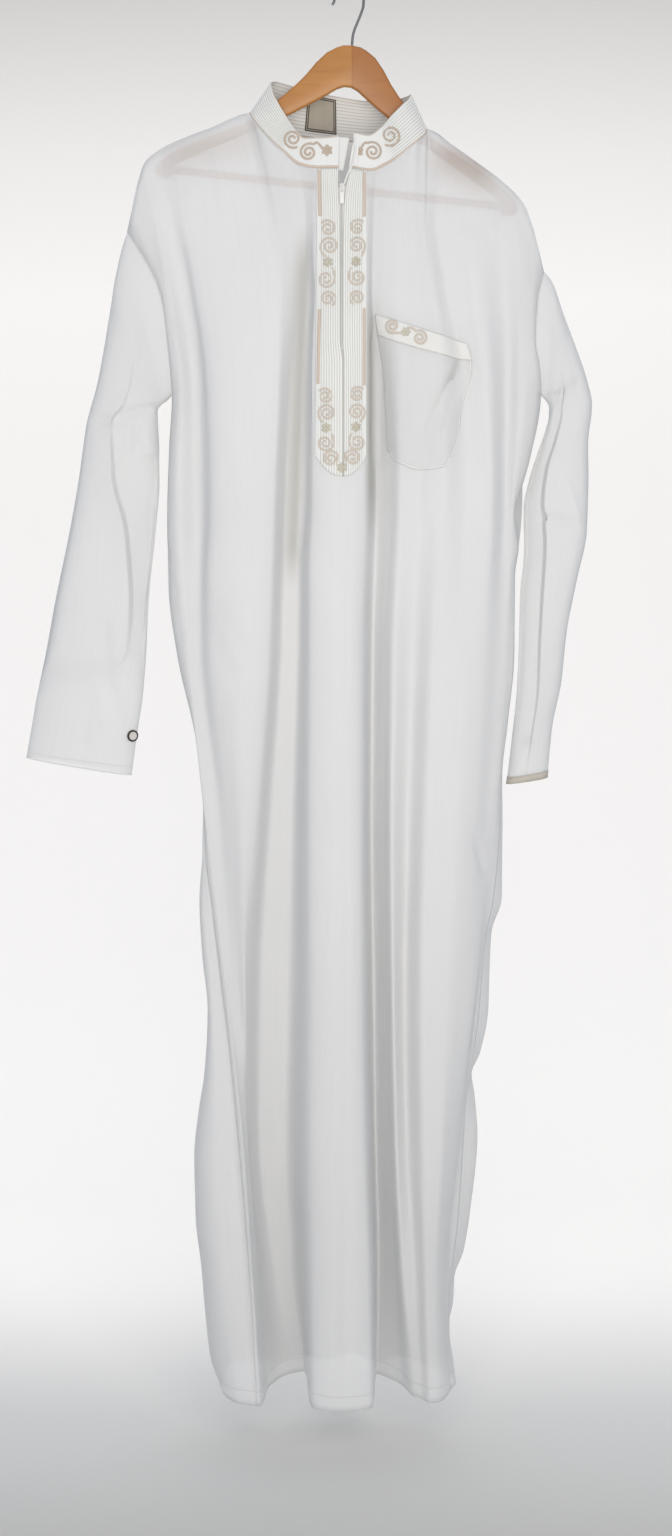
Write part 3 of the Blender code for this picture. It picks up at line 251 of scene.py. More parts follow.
# Sleeves, from the armhole to the cuff. Columns: outer edge x, z; inner edge x, z; middle y; depth; where its
# long fold lies, as a share of the way across; how far the cloth steps back there
RIGHT_SLEEVE = (
    (-264, -297, -212, -466, 2, 30, 0.50, 0),
    (-275, -350, -219, -471, 3, 36, 0.50, 0),
    (-284, -400, -223, -478, 4, 40, 0.50, 2),
    (-293, -444, -223, -492, 5, 42, 0.45, 4),
    (-307, -494, -222, -517, 5, 42, 0.34, 6),
    (-316, -552, -222, -560, 5, 42, 0.42, 14),
    (-327, -611, -227, -618, 4, 42, 0.64, 17),
    (-347, -703, -236, -700, 2, 40, 0.80, 12),
    (-358, -760, -239, -756, 0, 36, 0.80, 3),
    (-368, -806, -243, -805, -2, 34, 0.60, 0),
    (-376, -848, -250, -852, -3, 32, 0.50, 0),
    (-383, -885, -258, -906, -4, 30, 0.50, 0),
)
LEFT_SLEEVE = (
    (236, -330, 230, -466, 3, 28, 0.50, 0),
    (248, -362, 234, -474, 4, 34, 0.50, 0),
    (264, -402, 234, -487, 6, 38, 0.50, 2),
    (278, -440, 229, -505, 8, 42, 0.60, 6),
    (285, -472, 221, -528, 8, 44, 0.66, 12),
    (281, -515, 212, -558, 8, 44, 0.70, 14),
    (282, -559, 206, -592, 8, 44, 0.70, 14),
    (281, -616, 207, -640, 8, 42, 0.66, 14),
    (270, -675, 203, -692, 8, 40, 0.60, 14),
    (259, -735, 202, -750, 8, 38, 0.56, 12),
    (253, -797, 200, -808, 8, 34, 0.52, 8),
    (243, -850, 195, -862, 8, 30, 0.50, 4),
    (238, -910, 189, -918, 8, 26, 0.50, 0),
)
FOLD_WIDTH = 0.05  # of the way across a sleeve, where its fold steps back
COLUMNS_BEFORE_FOLD = 0.55  # this share of a sleeve's columns lies outside its fold
EDGE_CROWDING = 1.3  # above 1, the columns stand closer at a sleeve's two edges than at its fold
EASE_RINGS = 3  # over these rings the columns pass from the armhole's spacing to the sleeve's own

# Placket
PLACKET_TOP = -206.5
PLACKET_TOP_DROP = 3.0  # how much lower it is at its edge on the wearer's left
PLACKET_CORNER = -529
PLACKET_TIP = -553
PLACKET_EDGES = ((PLACKET_TIP, -39, 20), (PLACKET_TOP, -36, 20))  # z, x of the right edge, x of the left edge
PLACKET_ROWS = 9
TIP_ROUNDING = 2.2  # power of the curve from the placket's corners to its tip
PLACKET_RIBS = 7  # in each half
RIB_HEIGHT = 1.0
# The slit between its halves. Rows: z, middle x, half of its width
SLIT = (
    (-420, -6.5, 1.0), (-397, -8.5, 1.6), (-300, -8.5, 1.8), (-245, -8.5, 3.0), (-228, -8.0, 4.4),
    (-205, -4.5, 7.2),
)
SLIT_END = -405
SLIT_OVERLAP = 20  # the rows of faces that reach past the slit's end by less than this are open too
PANEL_SLIT_END = -415

# Zip
TAPE = 1.0
TAPE_ROWS = 8
TAPE_TOP = -208.5
TAPE_END = -409
TAPE_INSET = 1.6  # from the fold lines at the panel's slit
TAPE_BESIDE_SLIT = 1.2  # how far an open tape shows beside the placket's half
SLIDER_Z = -227.5
SLIDER = (6.0, 3.6, 9.0)
BRIDGE = (2.2, 2.6, 5.0)
BRIDGE_BAR = 1.0
PULL = (5.0, 0.9, 18.0)
PULL_EYE = (3.0, 3.6)  # width and length of its hole, which the bridge passes through
PULL_DROP = 0.75  # the eye's bar hangs this far below the middle of the bridge

# Chest pocket. Rows of its sides: share of the way down, x of the right side, x of the left side
POCKET_SIDES = ((0, 30, 136), (0.2, 34, 142), (0.4, 39, 137), (0.6, 41, 130), (0.8, 43, 127), (1, 45, 119))
POCKET_TOP = (-369, -402)
# Rows of its lower edge: share of the way across, z
POCKET_FOOT = ((0, -524), (0.12, -536), (0.5, -546), (0.85, -543), (1, -528))
POCKET_GAP = 0.4
POCKET_BELLY = 3.0
POCKET_GRID = (10, 8)
BAND_HEIGHT = 23
BAND_WALL = 1.2
BAND_GAP = 0.9

# Neck label, as the collar's stations and shares of its height that it spans
LABEL_STATIONS = (11.2, 11.95)
LABEL_HEIGHTS = (0.06, 0.84)
LABEL_THICK = 0.8

# Buttons: each one's name, its sleeve, and a line back along which it is set on the cloth, as start and way
BUTTON_RADIUS = 7.0
BUTTON_THICK = 3.0
BUTTON_GAP = 0.6
BUTTON_RIM = 0.8
BUTTONS = (
    ("cuff_button_right", "sleeve_right", (-223, -36, -863), (0.79, -0.6, -0.12)),
    ("cuff_button_left", "sleeve_left", (213, 55, -868), (-0.05, 1, 0)),
)

# Hanger, in its own frame: the apex of the wood is its origin, and it hangs tilted down to the wearer's left
HANGER_TILT = math.radians(6.2)
HANGER_APEX = (3.5, -65.0)
HANGER_THICK = 10
HANGER_ROUND = 3
# Half outline, from the apex along the top to the tip, and back along the lower edge: distance out, height
ARM_TOP = (
    (0, 0), (10, -1), (17, -4), (28, -11), (39, -23.5), (49, -38), (59, -50), (72, -63.5), (82, -73),
    (94, -85.5), (108, -96), (130, -107), (154, -118.5), (178, -132), (196, -143.5), (206, -153), (210, -161),
)
ARM_TIP = ((209, -166), (205, -169), (197, -170), (190, -167))
ARM_LOW = ((188, -154), (172, -144), (140, -126.5), (107, -108.5), (64, -85), (30, -63), (12, -50), (4, -46.5))
BAR_HEIGHT = -160
BAR_RADIUS = 4.5
BAR_HALF = 187.3

# Hook
WIRE = 3.0
HOOK_STEPS = 12
HOOK_RADIUS = 16.75  # to the middle of the wire
HOOK_SHANK = ((3.6, -64.5), (4.0, -58), (5.2, -51), (9.0, -41), (14.0, -29), (16.4, -21))
HOOK_END = ((-17.2, -17), (-19, -20))

# Fine form of the cloth
TOP_CROWDING = 1.8  # how much closer the rows stand towards a panel's top edge
FOLD_COLUMNS = 6  # columns within a sleeve's fold
CREASE_FADE = 0.2  # share of a crease over which each of its ends fades
SEAM_SHOWN = 0.05  # a shoulder seam's two edges end this far from its line
BODY_HEM = 18  # height of the turned-up hems
CUFF_HEM = 9
FINE_RIBS = 10  # in each half of the placket
RIB_POINTS = 6
RIBBED_SHARE = 0.84  # of the way from the slit to the placket's edge, which its border covers
PLACKET_FINE_ROWS = 150
PLACKET_WALL = 0.7
COLLAR_COLUMNS = 300
COLLAR_FINE_ROWS = 78
COLLAR_RIBS = 13
COLLAR_WALL = 1.4
QUILT_FROM = 3.0  # the collar is quilted between these stations
QUILT_TO = 21.0
TURNED_END = 3.0  # how far its front end on the wearer's left is curled in
TURNED_FROM = 21.6

# Braid and embroidery
BRAID_RING = ((-0.5, 0), (-0.4, 0.7), (0, 1), (0.4, 0.7), (0.5, 0), (0, -0.15))  # section, as across and up
BRAID_STEP = 0.9
BRAID_WIDTH = 2.7
BRAID_HEIGHT = 0.9
BORDER_WIDTH = 3.8
BORDER_HEIGHT = 0.9
FOOT_BRAID = 3.0
RIM_CORD = 1.4
SCROLL_STEPS = 60
SCROLL_TURNS = 1.85
SCROLL_EYE = 0.17  # share of its radius at which a scroll ends
# Scrolls, drawn by a spiral's formula. Columns: what it is on, x, z, radius, angle at which it starts on its rim, way
# round (1 is anticlockwise), and then the points of its tail
SCROLLS = (
    ("placket", -24, -273, 9.5, 140, -1),
    ("placket", -22, -293, 10.5, 190, -1, (-27, -305), (-31, -300)),
    ("placket", -26, -330, 10.5, 20, -1, (-19, -317)),
    ("placket", -24, -352, 9.5, -60, 1),
    ("placket", 9.5, -272, 9, 40, 1),
    ("placket", 8.5, -292, 9.9, -15, 1, (14, -305)),
    ("placket", 9.5, -328, 9.9, 160, 1, (2, -317)),
    ("placket", 9.5, -351, 9, -120, -1),
    ("placket", -27, -462, 9.2, 140, -1),
    ("placket", -25, -481, 10.1, 190, -1, (-30, -492)),
    ("placket", -27, -515, 10.1, 20, -1, (-20, -504)),
    ("placket", -21, -533, 9.4, 30, 1, (-14, -540)),
    ("placket", 9.5, -460, 9, 40, 1),
    ("placket", 8.5, -480, 9.9, -15, 1, (13, -491)),
    ("placket", 9.5, -514, 9.9, 160, 1, (3, -504)),
    ("placket", 4, -532, 9.4, 150, -1, (-3, -539)),
    ("collar", -64, -172, 11, -60, -1),
    ("collar", -46, -188, 10.5, 60, 1, (-30, -184), (-37, -177)),
    ("collar", 47, -168, 12.5, -120, 1),
    ("collar", 27, -187, 11, 120, -1, (13, -184), (19, -177)),
    ("pocket", 50, -382, 8.5, -70, -1, (63, -391)),
    ("pocket", 81, -396, 9, 120, -1, (67, -384), (73, -385)),
)
# Rosettes. Columns: what it is on, x, z, size, turn in degrees, leaves
MOTIFS = (
    ("placket", -24, -311, 12, 90, 6),
    ("placket", 8, -310.5, 12, 90, 6),
    ("placket", -26, -498, 12, 90, 6),
    ("placket", 8, -497, 12, 90, 6),
    ("placket", -8, -543, 12, 90, 6),
    ("collar", -25, -186, 13, 30, 6),
    ("collar", 11, -187, 11, 30, 5),
    ("pocket", 65, -389, 11, 60, 6),
)
MOTIF_RINGS = ((1.0, 0), (0.85, 0.6), (0.45, 1.0))  # share of a leaf's size, share of its height
MOTIF_SIDES = 10
MOTIF_HEIGHT = 1.1
# The tan borders down the placket's two edges, as points x, z
PLACKET_LINES = (
    ((-33.8, -208), (-33.6, -235), (-33.2, -259)),
    ((-33.8, -364), (-34.8, -405), (-35.4, -448)),
    ((17.6, -210.5), (17.6, -236), (17.4, -260)),
    ((17.4, -363), (17.5, -405), (17.4, -450)),
)

# Zip, pocket and buttons
TOOTH_PITCH = 1.6
SLIDER_OUTLINE = (
    (-1.6, 4.5), (1.6, 4.5), (3.0, 2.6), (2.5, 0), (2.0, -3.2), (1.1, -4.5), (-1.1, -4.5), (-2.0, -3.2), (-2.5, 0),
    (-3.0, 2.6),
)
PULL_OUTLINE = (
    (-1.4, 0), (1.4, 0), (2.3, -1.0), (2.5, -6.5), (1.9, -11), (2.3, -16.6), (1.4, -18), (-1.4, -18), (-2.3, -16.6),
    (-1.9, -11), (-2.5, -6.5), (-2.3, -1.0),
)
PULL_HOLE = (
    (-0.9, -1.2), (0.9, -1.2), (1.4, -1.7), (1.5, -3.2), (1.4, -4.4), (0.9, -4.8), (0.4, -4.8), (-0.4, -4.8),
    (-0.9, -4.8), (-1.4, -4.4), (-1.5, -3.2), (-1.4, -1.7),
)
POCKET_CREASES = (
    (3.8, 7, 9, (128, -431.7), (110.9, -465.8), (97.3, -497.7), (100.8, -517.2), (105.6, -534.4)),
    (-0.8, 8, 8, (70, -440), (78, -500)),
)
BUTTON_SIDES = 40
# Profiles from the cloth out, as radius and height
BUTTON_RIM_PROFILE = ((6.4, 0), (7.0, 0.5), (7.0, 1.9), (6.6, 2.6), (5.9, 2.9), (5.2, 2.6), (4.9, 2.0), (4.9, 1.0))
BUTTON_FACE_PROFILE = ((4.95, 0.9), (4.95, 2.1), (4.3, 2.3), (2.8, 1.9), (1.4, 1.8))

# Creases. Columns: depth inwards (a ridge is negative), width on its two sides, and then its points x, z
FRONT_CREASES = (
    (4.0, 9, 16, (-209, -230), (-195, -308), (-180, -387), (-171, -466), (-167, -534), (-169, -603), (-179, -696)),
    (-1.0, 4, 4, (-159, -365), (-125, -557), (-105, -632)),
    (1.6, 6, 9, (-167, -710), (-127, -801)),
    (1.4, 6, 6, (-159, -696), (-115, -760)),
    (2.5, 4, 4, (97, -167), (100, -187)),
    (2.0, 3, 3, (-212, -621), (-211, -657), (-194, -762)),
    (1.6, 4, 4, (-208, -650), (-186, -664)),
    (1.6, 4, 4, (-205, -683), (-181, -697)),
    (1.6, 4, 4, (-199, -715), (-177, -732)),
    (2.5, 5, 5, (147, -969), (165, -1029)),
    (2.0, 5, 5, (81, -540), (82.5, -557), (80, -603)),
    (4.0, 18, 5, (-46, -280), (-49, -400), (-52, -560), (-55, -660)),
    (4.5, 13, 4, (30, -375), (31, -450), (30, -550)),
)
BACK_CREASES = (
    (2.5, 10, 16, (-150, -300), (-130, -480), (-140, -640)),
    (2.0, 12, 8, (120, -280), (105, -470), (118, -700)),
    (1.5, 5, 5, (-60, -900), (-40, -1060)),
    (1.6, 6, 6, (40, -760), (70, -880)),
)
SLEEVE_CREASES = {
    "sleeve_right": (
        (4.0, 4, 7, (-303, -494), (-271, -485), (-242, -475), (-219, -475)),
        (-3.0, 8, 8, (-253, -511), (-238, -505), (-231, -534)),
        (3.0, 9, 9, (-285, -711), (-286, -735), (-284, -794), (-270, -834), (-262, -864)),
        (2.0, 5, 5, (-289, -838), (-317, -875)),
    ),
    "sleeve_left": (
        (4.0, 4, 5, (228, -468), (245, -459), (271, -440)),
        (3.5, 4, 5, (220, -598), (247, -603), (274, -613)),
        (-2.0, 5, 5, (250, -546), (274, -615)),
    ),
}
SLEEVE_BACK_CREASES = {
    "sleeve_right": (
        (3.0, 6, 6, (-300, -500), (-250, -480)),
        (2.5, 7, 7, (-310, -620), (-260, -660)),
    ),
    "sleeve_left": (
        (3.0, 5, 5, (235, -470), (270, -455)),
        (2.5, 6, 6, (215, -640), (262, -620)),
    ),
}

# The zip's tape inside the collar's front ends, as x and y at its top and at its foot, each from its hidden edge in
COLLAR_TAPE_TOP = -170.5
COLLAR_TAPES = (
    ("right", (-16, -31.2), (1.5, -24), (-16, -36.2), (-6.5, -33)),
    ("left", (12, -31.2), (5.5, -31.2), (9, -36.2), (-1.0, -36.4)),
)
# Its folded edge on the wearer's left, which stands out of the collar, as points
TAPE_FOLD = ((5.6, -34.5, -168), (7.0, -36.0, -183), (4.2, -38.2, -200), (-2.4, -40.5, -215), (-5.6, -41, -224))
TAPE_FOLD_WIDTH = 2.2

LABEL_SHOWN = (0.12, 0.93)  # of the collar's height

# Cloth's look
CLOTH_ALPHA = 0.53  # of each of a shell's two faces
HEM_STITCH = "D6D6D2"
# Colour of the painted shade in the grooves between the ribs of the placket and the collar
RIB_GROOVE_SHADE = "C2C1BA"
FACING_LIFT = 0.4
# Painted shade on the front, where it is one layer over a hollow, and a warm painted shade where the hanger behind
# shows through at the shoulders. Columns: colour, strength, start, end, width on its two sides, length over which its
# ends fade
FRONT_PAINTED_SHADE = (
    ("CCCBC4", 0.9, (-49, -262), (-67, -690), 18, 11, 60),
    ("CCCBC4", 1.0, (25, -330), (27, -640), 12, 12, 80),
    ("CEC2B9", 0.75, (84, -176), (184, -214), 44, 18, 40),
    ("CEC2B9", 0.28, (-90, -165), (-222, -192), 20, 34, 40),
)
# Painted shade on the pocket, at the dark gap of its mouth and down the crease below it, in the same columns
POCKET_PAINTED_SHADE = (
    ("CCCBC4", 0.5, (129, -408), (110, -462), 7, 6, 22),
    ("CCCBC4", 0.3, (124, -420), (88, -535), 17, 13, 50),
)

# Stage, lights and camera, in metres and in pixels of the whole frame
FLOOR = -1.75
BACK_EDGE = 0.95
SWEEP = 1.2
STAGE_HALF = 1.2  # narrow enough that the wall stands clear of the robe in views from behind and aside
WALL_SPAN = 2.35  # height over which the wall's tone changes
# The wall darkens towards its top, as painted light falloff
WALL_PAINTED_FALLOFF = ((-1.75, "F2F2F0"), (-1.47, "F1F0EE"), (-0.2, "F2F1EE"), (0.1, "E6E5E2"), (0.45, "CECDCA"))
# The floor darkens towards the front, as a painted shadow
FLOOR_SHADOW_FROM = 0.6
FLOOR_SHADOW_OVER = 0.9
FLOOR_SHADOW_POWER = 1.8
FLOOR_SHADOW_TONE = "C2C2C0"
WORLD_COLOUR = "EDF2FC"
WORLD_STRENGTH = 0.6
# Columns: name, place, target, size, watts, colour
LIGHTS = (
    ("softbox_front", (0.1, -1.9, -0.5), (0, 0, -0.6), (1.2, 1.2), 23.0, "FFF9F1"),
    ("softbox_top", (0.1, 0.4, 2.2), (0, 0.1, -1), (1.4, 1.4), 12, "FFFAF4"),
    ("softbox_backdrop", (-0.2, 1.0, -0.4), (-0.2, 2.2, -1.2), (3.0, 2.4), 14, "FFF9F4"),
)
CAMERA = (-0.0148, -2.6961, -0.5383)
PITCH = 7.6
FOCAL = 2283
FRAME_HEIGHT = 1536


def smooth(knots, values, wanted):
    """Values at the wanted places on a monotone cubic through the knots, which never overshoots them."""
    knots = np.asarray(knots, float)
    values = np.asarray(values, float)
    if values.ndim == 1:
        return smooth(knots, values[:, None], wanted)[..., 0]
    wanted = np.clip(np.asarray(wanted, float), knots[0], knots[-1])
    slopes = np.diff(values, axis=0) / np.diff(knots)[:, None]
    before = slopes[:-1]
    after = slopes[1:]
    same = before * after > 0
    tangents = np.vstack([slopes[:1], np.zeros_like(before), slopes[-1:]])
    tangents[1:-1] = np.where(same, 2 * before * after / np.where(same, before + after, 1), 0)
    cell = np.clip(np.searchsorted(knots, wanted, side="right") - 1, 0, len(knots) - 2)
    width = (knots[cell + 1] - knots[cell])[..., None]
    t = (wanted - knots[cell])[..., None] / width
    start = values[cell] * (1 + 2 * t) * (1 - t) ** 2 + tangents[cell] * width * t * (1 - t) ** 2
    end = values[cell + 1] * t * t * (3 - 2 * t) - tangents[cell + 1] * width * t * t * (1 - t)
    return start + end


def at_height(rows, z):
    """x and y of a line, from its rows of z, x, y, at the height z."""
    table = np.array(rows, float)[::-1]
    return smooth(table[:, 0], table[:, 1:], z)


def fold_rows(levels):
    """A fold's rows of z, x, y: either already so, or as x, y at each of LEVELS."""
    if len(levels[0]) == 3:
        return levels
    return tuple((z, x, y) for z, (x, y) in zip(LEVELS, levels))


def collar_point(station, height):
    """A point of the collar's outer face, at a station and a share of its height."""
    stations = np.arange(len(COLLAR))
    base = smooth(stations, [row[0] for row in COLLAR], station)
    top = smooth(stations, [row[1] for row in COLLAR], station)
    return base + (top - base) * np.asarray(height)[..., None]


def in_neck(x):
    """Which of the columns at x end at the neck and not on a shoulder."""
    return (x > COLLAR[RIGHT_NECK][0][0] + 1) & (x < COLLAR[LEFT_NECK][0][0] - 1)


def neck_stations(x, side):
    """The collar's stations that stand over the panels' columns at x, on the front (-1) or the back (1)."""
    foot = np.array([row[0][0] for row in COLLAR], float)
    stations = np.arange(len(COLLAR))
    if side > 0:
        return np.interp(x, foot[RIGHT_NECK : LEFT_NECK + 1], stations[RIGHT_NECK : LEFT_NECK + 1])
    right = np.interp(x, foot[RIGHT_NECK::-1], stations[RIGHT_NECK::-1])
    left = np.interp(x, foot[: LEFT_NECK - 1 : -1], stations[: LEFT_NECK - 1 : -1])
    return np.where(x < (foot[0] + foot[-1]) / 2, right, left)


def fold_line(top, rows, z):
    """A fold line's points at the heights z, rolled over the shoulder or out from the neck at its top."""
    line = [row for row in rows if row[0] < top[2] - 1]
    x = at_height([(top[2], top[0], 0), *line], z)[..., 0]
    face = at_height(line, np.minimum(z, rows[0][0]))[..., 1]
    roll = CROWN if top[1] == 0 else NECK_ROLL
    turn = 1 - np.minimum((top[2] - z) / roll, 1)
    return np.stack([x, top[1] + (face - top[1]) * np.sqrt(1 - turn**2), z], axis=-1)


def armhole_line(seam, shares, side):
    """The armhole's edge, at shares of the way down it, on the front (-1) or the back (1)."""
    top = seam[0][0]
    z = top + shares * (UNDERARM_Z - top)
    line = at_height(seam, z)
    open_by = side * ARMHOLE_OPEN[side] * np.sqrt(np.maximum(0, 1 - (2 * shares - 1) ** 2))
    return np.stack([line[..., 0], line[..., 1] + open_by, z], axis=-1)


def section(points, counts):
    """A smooth line through one row's fold points, with a fixed count of columns from fold to fold."""
    run = np.concatenate([[0], np.cumsum(np.linalg.norm(np.diff(points, axis=0), axis=1))])
    spans = [np.linspace(run[i], run[i + 1], count, endpoint=False) for i, count in enumerate(counts)]
    return smooth(run, points, np.concatenate([*spans, run[-1:]]))


def panel(folds, side):
    """One panel's outer points, from the wearer's right seam to the left one, and the column of each fold line."""
    upper = np.linspace(0, 1, FINE_UPPER + 1) ** TOP_CROWDING
    lower = np.linspace(UNDERARM_Z, HEM_Z, FINE_LOWER + 1)[1:]
    lines = [np.vstack([armhole_line(RIGHT_SEAM, upper, side), seam_line(RIGHT_SEAM, lower)])]
    for _, _, top, levels in folds:
        rows = fold_rows(levels)
        z = top[2] + upper * (UNDERARM_Z - top[2])
        lines.append(np.vstack([fold_line(top, rows, z), seam_line(rows, lower)]))
    lines.append(np.vstack([armhole_line(LEFT_SEAM, upper, side), seam_line(LEFT_SEAM, lower)]))
    lines = np.array(lines)
    widths = np.linalg.norm(np.diff(lines[:, FINE_UPPER + FINE_LOWER // 2], axis=0), axis=1)
    counts = np.maximum(3, np.round(PANEL_COLUMNS[side] * widths / widths.sum())).astype(int)
    grid = np.array([section(lines[:, row], counts) for row in range(lines.shape[1])])
    neck = in_neck(grid[0, :, 0])
    shift = np.zeros_like(grid[0])
    shift[neck] = collar_point(neck_stations(grid[0, neck, 0], side), 0) - (0, 0, NECK_SEAM) - grid[0, neck]
    for row, share in enumerate(upper):
        grid[row] += shift * (1 - share) ** 4
    return grid, np.cumsum(counts)


def seam_line(rows, z):
    """The points of a line with rows of z, x, y at the heights z."""
    line = at_height(rows, z)
    return np.stack([line[..., 0], line[..., 1], z], axis=-1)


def soft_step(value):
    value = np.clip(value, 0, 1)
    return value * value * (3 - 2 * value)


def sleeve(armhole, rows):
    """The rings of one sleeve's outer points. Each ring runs down the front from the top, and up the back."""
    half = FINE_UPPER
    before = round(half * COLUMNS_BEFORE_FOLD) - FOLD_COLUMNS // 2
    rings = [armhole]
    for number, (outer_x, outer_z, inner_x, inner_z, middle, depth, fold, step) in enumerate(rows, 1):
        even = 0.5 - 0.5 * np.cos(np.linspace(0, math.pi, half + 1))
        folded = np.concatenate([
            fold * np.linspace(0, 1, before + 1) ** (1 / EDGE_CROWDING),
            fold + FOLD_WIDTH * np.linspace(0, 1, FOLD_COLUMNS + 1)[1:],
            1 - (1 - fold - FOLD_WIDTH) * np.linspace(1, 0, half - before - FOLD_COLUMNS + 1)[1:] ** (1 / EDGE_CROWDING),
        ])
        ease = min(number / EASE_RINGS, 1)
        share = (1 - ease) * np.linspace(0, 1, half + 1) ** TOP_CROWDING + ease * (folded if step else even)
        bulge = (1 - np.abs(2 * share - 1) ** 3) ** 0.5
        stepped = soft_step((share - fold) / FOLD_WIDTH) * soft_step((1 - share) / FOLD_WIDTH)
        front = middle - depth / 2 * bulge + step * stepped
        back = middle + depth / 2 * bulge
        x = outer_x + (inner_x - outer_x) * share
        z = outer_z + (inner_z - outer_z) * share
        down = np.stack([x, front, z], axis=1)
        up = np.stack([x, back, z], axis=1)[-2:0:-1]
        rings.append(np.vstack([down, up]))
    rings = np.array(rings)
    steps = np.linalg.norm(np.diff(rings.mean(axis=1), axis=0), axis=1)
    run = np.concatenate([[0], np.cumsum(steps)])
    fine = smooth(run, rings.reshape(len(rings), -1), np.linspace(0, run[-1], SLEEVE_RINGS + 1))
    return fine.reshape(SLEEVE_RINGS + 1, -1, 3)


def summed_normals(grid, closed=False):
    """At each point, the sum of the normals of the faces round it, weighted by their area."""
    if closed:
        grid = np.concatenate([grid, grid[:, :1]], axis=1)
    face = np.cross(grid[1:, 1:] - grid[:-1, :-1], grid[:-1, 1:] - grid[1:, :-1])
    normals = np.zeros_like(grid)
    for rows in (slice(0, -1), slice(1, None)):
        for columns in (slice(0, -1), slice(1, None)):
            normals[rows, columns] += face
    if closed:
        normals[:, 0] += normals[:, -1]
        normals = normals[:, :-1]
    return normals


def unit(vectors):
    return vectors / np.maximum(np.linalg.norm(vectors, axis=-1, keepdims=True), 1e-9)


def outward(grid, closed, side):
    """Unit normals of a grid, turned to the side that shows: the front (-1), the back (1) or away from a tube (0)."""
    normals = unit(summed_normals(grid, closed))
    if side:
        facing = (normals[..., 1] * side).sum()
    else:
        facing = (normals * (grid - grid.mean(axis=1, keepdims=True))).sum()
    return normals if facing > 0 else -normals


def press(grid, normals, creases):
    """Presses soft creases into a grid: each runs along points x, z, with a depth inwards and a width on each side."""
    spots = grid[..., (0, 2)]
    move = np.zeros(grid.shape[:2])
    for depth, width_right, width_left, *line in creases:
        line = np.array(line, float)
        lengths = np.linalg.norm(np.diff(line, axis=0), axis=1)
        total = lengths.sum()
        best = np.full(grid.shape[:2], np.inf)
        signed = np.zeros(grid.shape[:2])
        along = np.zeros(grid.shape[:2])
        start_run = 0
        for start, end, length in zip(line[:-1], line[1:], lengths):
            way = (end - start) / length
            from_start = spots - start
            run = np.clip(from_start @ way, 0, length)
            off = from_start - run[..., None] * way
            distance = np.linalg.norm(off, axis=-1)
            nearer = distance < best
            cross = way[0] * from_start[..., 1] - way[1] * from_start[..., 0]
            signed = np.where(nearer, np.copysign(distance, cross), signed)
            along = np.where(nearer, (start_run + run) / total, along)
            best = np.where(nearer, distance, best)
            start_run += length
        width = np.where(signed > 0, width_right, width_left)
        fade = soft_step(along / CREASE_FADE) * soft_step((1 - along) / CREASE_FADE)
        move += depth * fade * np.exp(-((signed / width) ** 2))
    return grid - move[..., None] * normals


def shell(name, grid, normals, thickness, material, closed=False, cut=(), hem=0, inside=None, ribs=None):
    """A thin closed shell under a grid of outer points, with a UV map in metres of cloth.

    A hem at its last row adds a map whose v is the height above the edge as a share of the hem. Ribs add one of
    their number and their depth. The inner face is as far in as the thickness, or as given.
    """
    rows, columns = grid.shape[:2]
    count = rows * columns
    inside = grid - thickness * normals if inside is None else inside
    points = np.concatenate([grid.reshape(-1, 3), inside.reshape(-1, 3)]) * MM
    last = columns if closed else columns - 1
    kept = [(r, c) for r in range(rows - 1) for c in range(last) if (r, c) not in cut]
    faces = []
    edges = {}
    for r, c in kept:
        after = (c + 1) % columns
        corners = (r * columns + c, r * columns + after, (r + 1) * columns + after, (r + 1) * columns + c)
        faces.append(corners)
        faces.append(tuple(count + corner for corner in reversed(corners)))
        for start, end in zip(corners, corners[1:] + corners[:1]):
            if (end, start) in edges:
                del edges[(end, start)]
            else:
                edges[(start, end)] = True
    faces += [(end, start, count + start, count + end) for start, end in edges]
    mesh = bpy.data.meshes.new(name)
    mesh.from_pydata(points.tolist(), [], faces)
    down = np.linalg.norm(np.diff(grid, axis=0), axis=-1).mean(axis=1)
    across = np.linalg.norm(np.diff(grid, axis=1), axis=-1).mean(axis=0)
    v = np.concatenate([[0], np.cumsum(down)]) * MM
    u = np.concatenate([[0], np.cumsum(across)]) * MM
    spots = np.stack(np.meshgrid(u, v), axis=-1).reshape(-1, 2)
    spots = np.concatenate([spots, spots])
    maps = {"cloth": spots}
    if hem:
        maps["edge"] = np.stack([spots[:, 0], (v[-1] - spots[:, 1]) / (hem * MM)], axis=1)
    if ribs is not None:
        maps["ribs"] = np.concatenate([ribs.reshape(-1, 2)] * 2)
    corner_points = np.empty(len(mesh.loops), dtype=np.int32)
    mesh.loops.foreach_get("vertex_index", corner_points)
    for layer, places in maps.items():
        layer = mesh.uv_layers.new(name=layer)
        layer.data.foreach_set("uv", places[corner_points].astype(np.float32).ravel())
    work = bmesh.new()
    work.from_mesh(mesh)
    bmesh.ops.delete(work, geom=[v for v in work.verts if not v.link_faces], context="VERTS")
    bmesh.ops.recalc_face_normals(work, faces=work.faces)
    work.to_mesh(mesh)
    work.free()
    mesh.shade_smooth()
    mesh.materials.append(material)
    piece = bpy.data.objects.new(name, mesh)
    bpy.context.scene.collection.objects.link(piece)
    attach(piece, BODY)
    return piece


def surface_tree(grid, closed=False):
    """A grid's outer face, to find where a piece lies on it."""
    if closed:
        grid = np.concatenate([grid, grid[:, :1]], axis=1)
    rows, columns = grid.shape[:2]
    faces = [
        (r * columns + c, r * columns + c + 1, (r + 1) * columns + c + 1, (r + 1) * columns + c)
        for r in range(rows - 1)
        for c in range(columns - 1)
    ]
    return BVHTree.FromPolygons([Vector(point) for point in grid.reshape(-1, 3)], faces)


def lie_on(tree, x, z, clear):
    """The point in front of the panel at x and z, this far clear of it."""
    hit, normal, _, _ = tree.ray_cast(Vector((x, -AHEAD, z)), Vector((0, 1, 0)))
    return x, hit.y - clear / max(abs(normal.y), STEEPEST), z


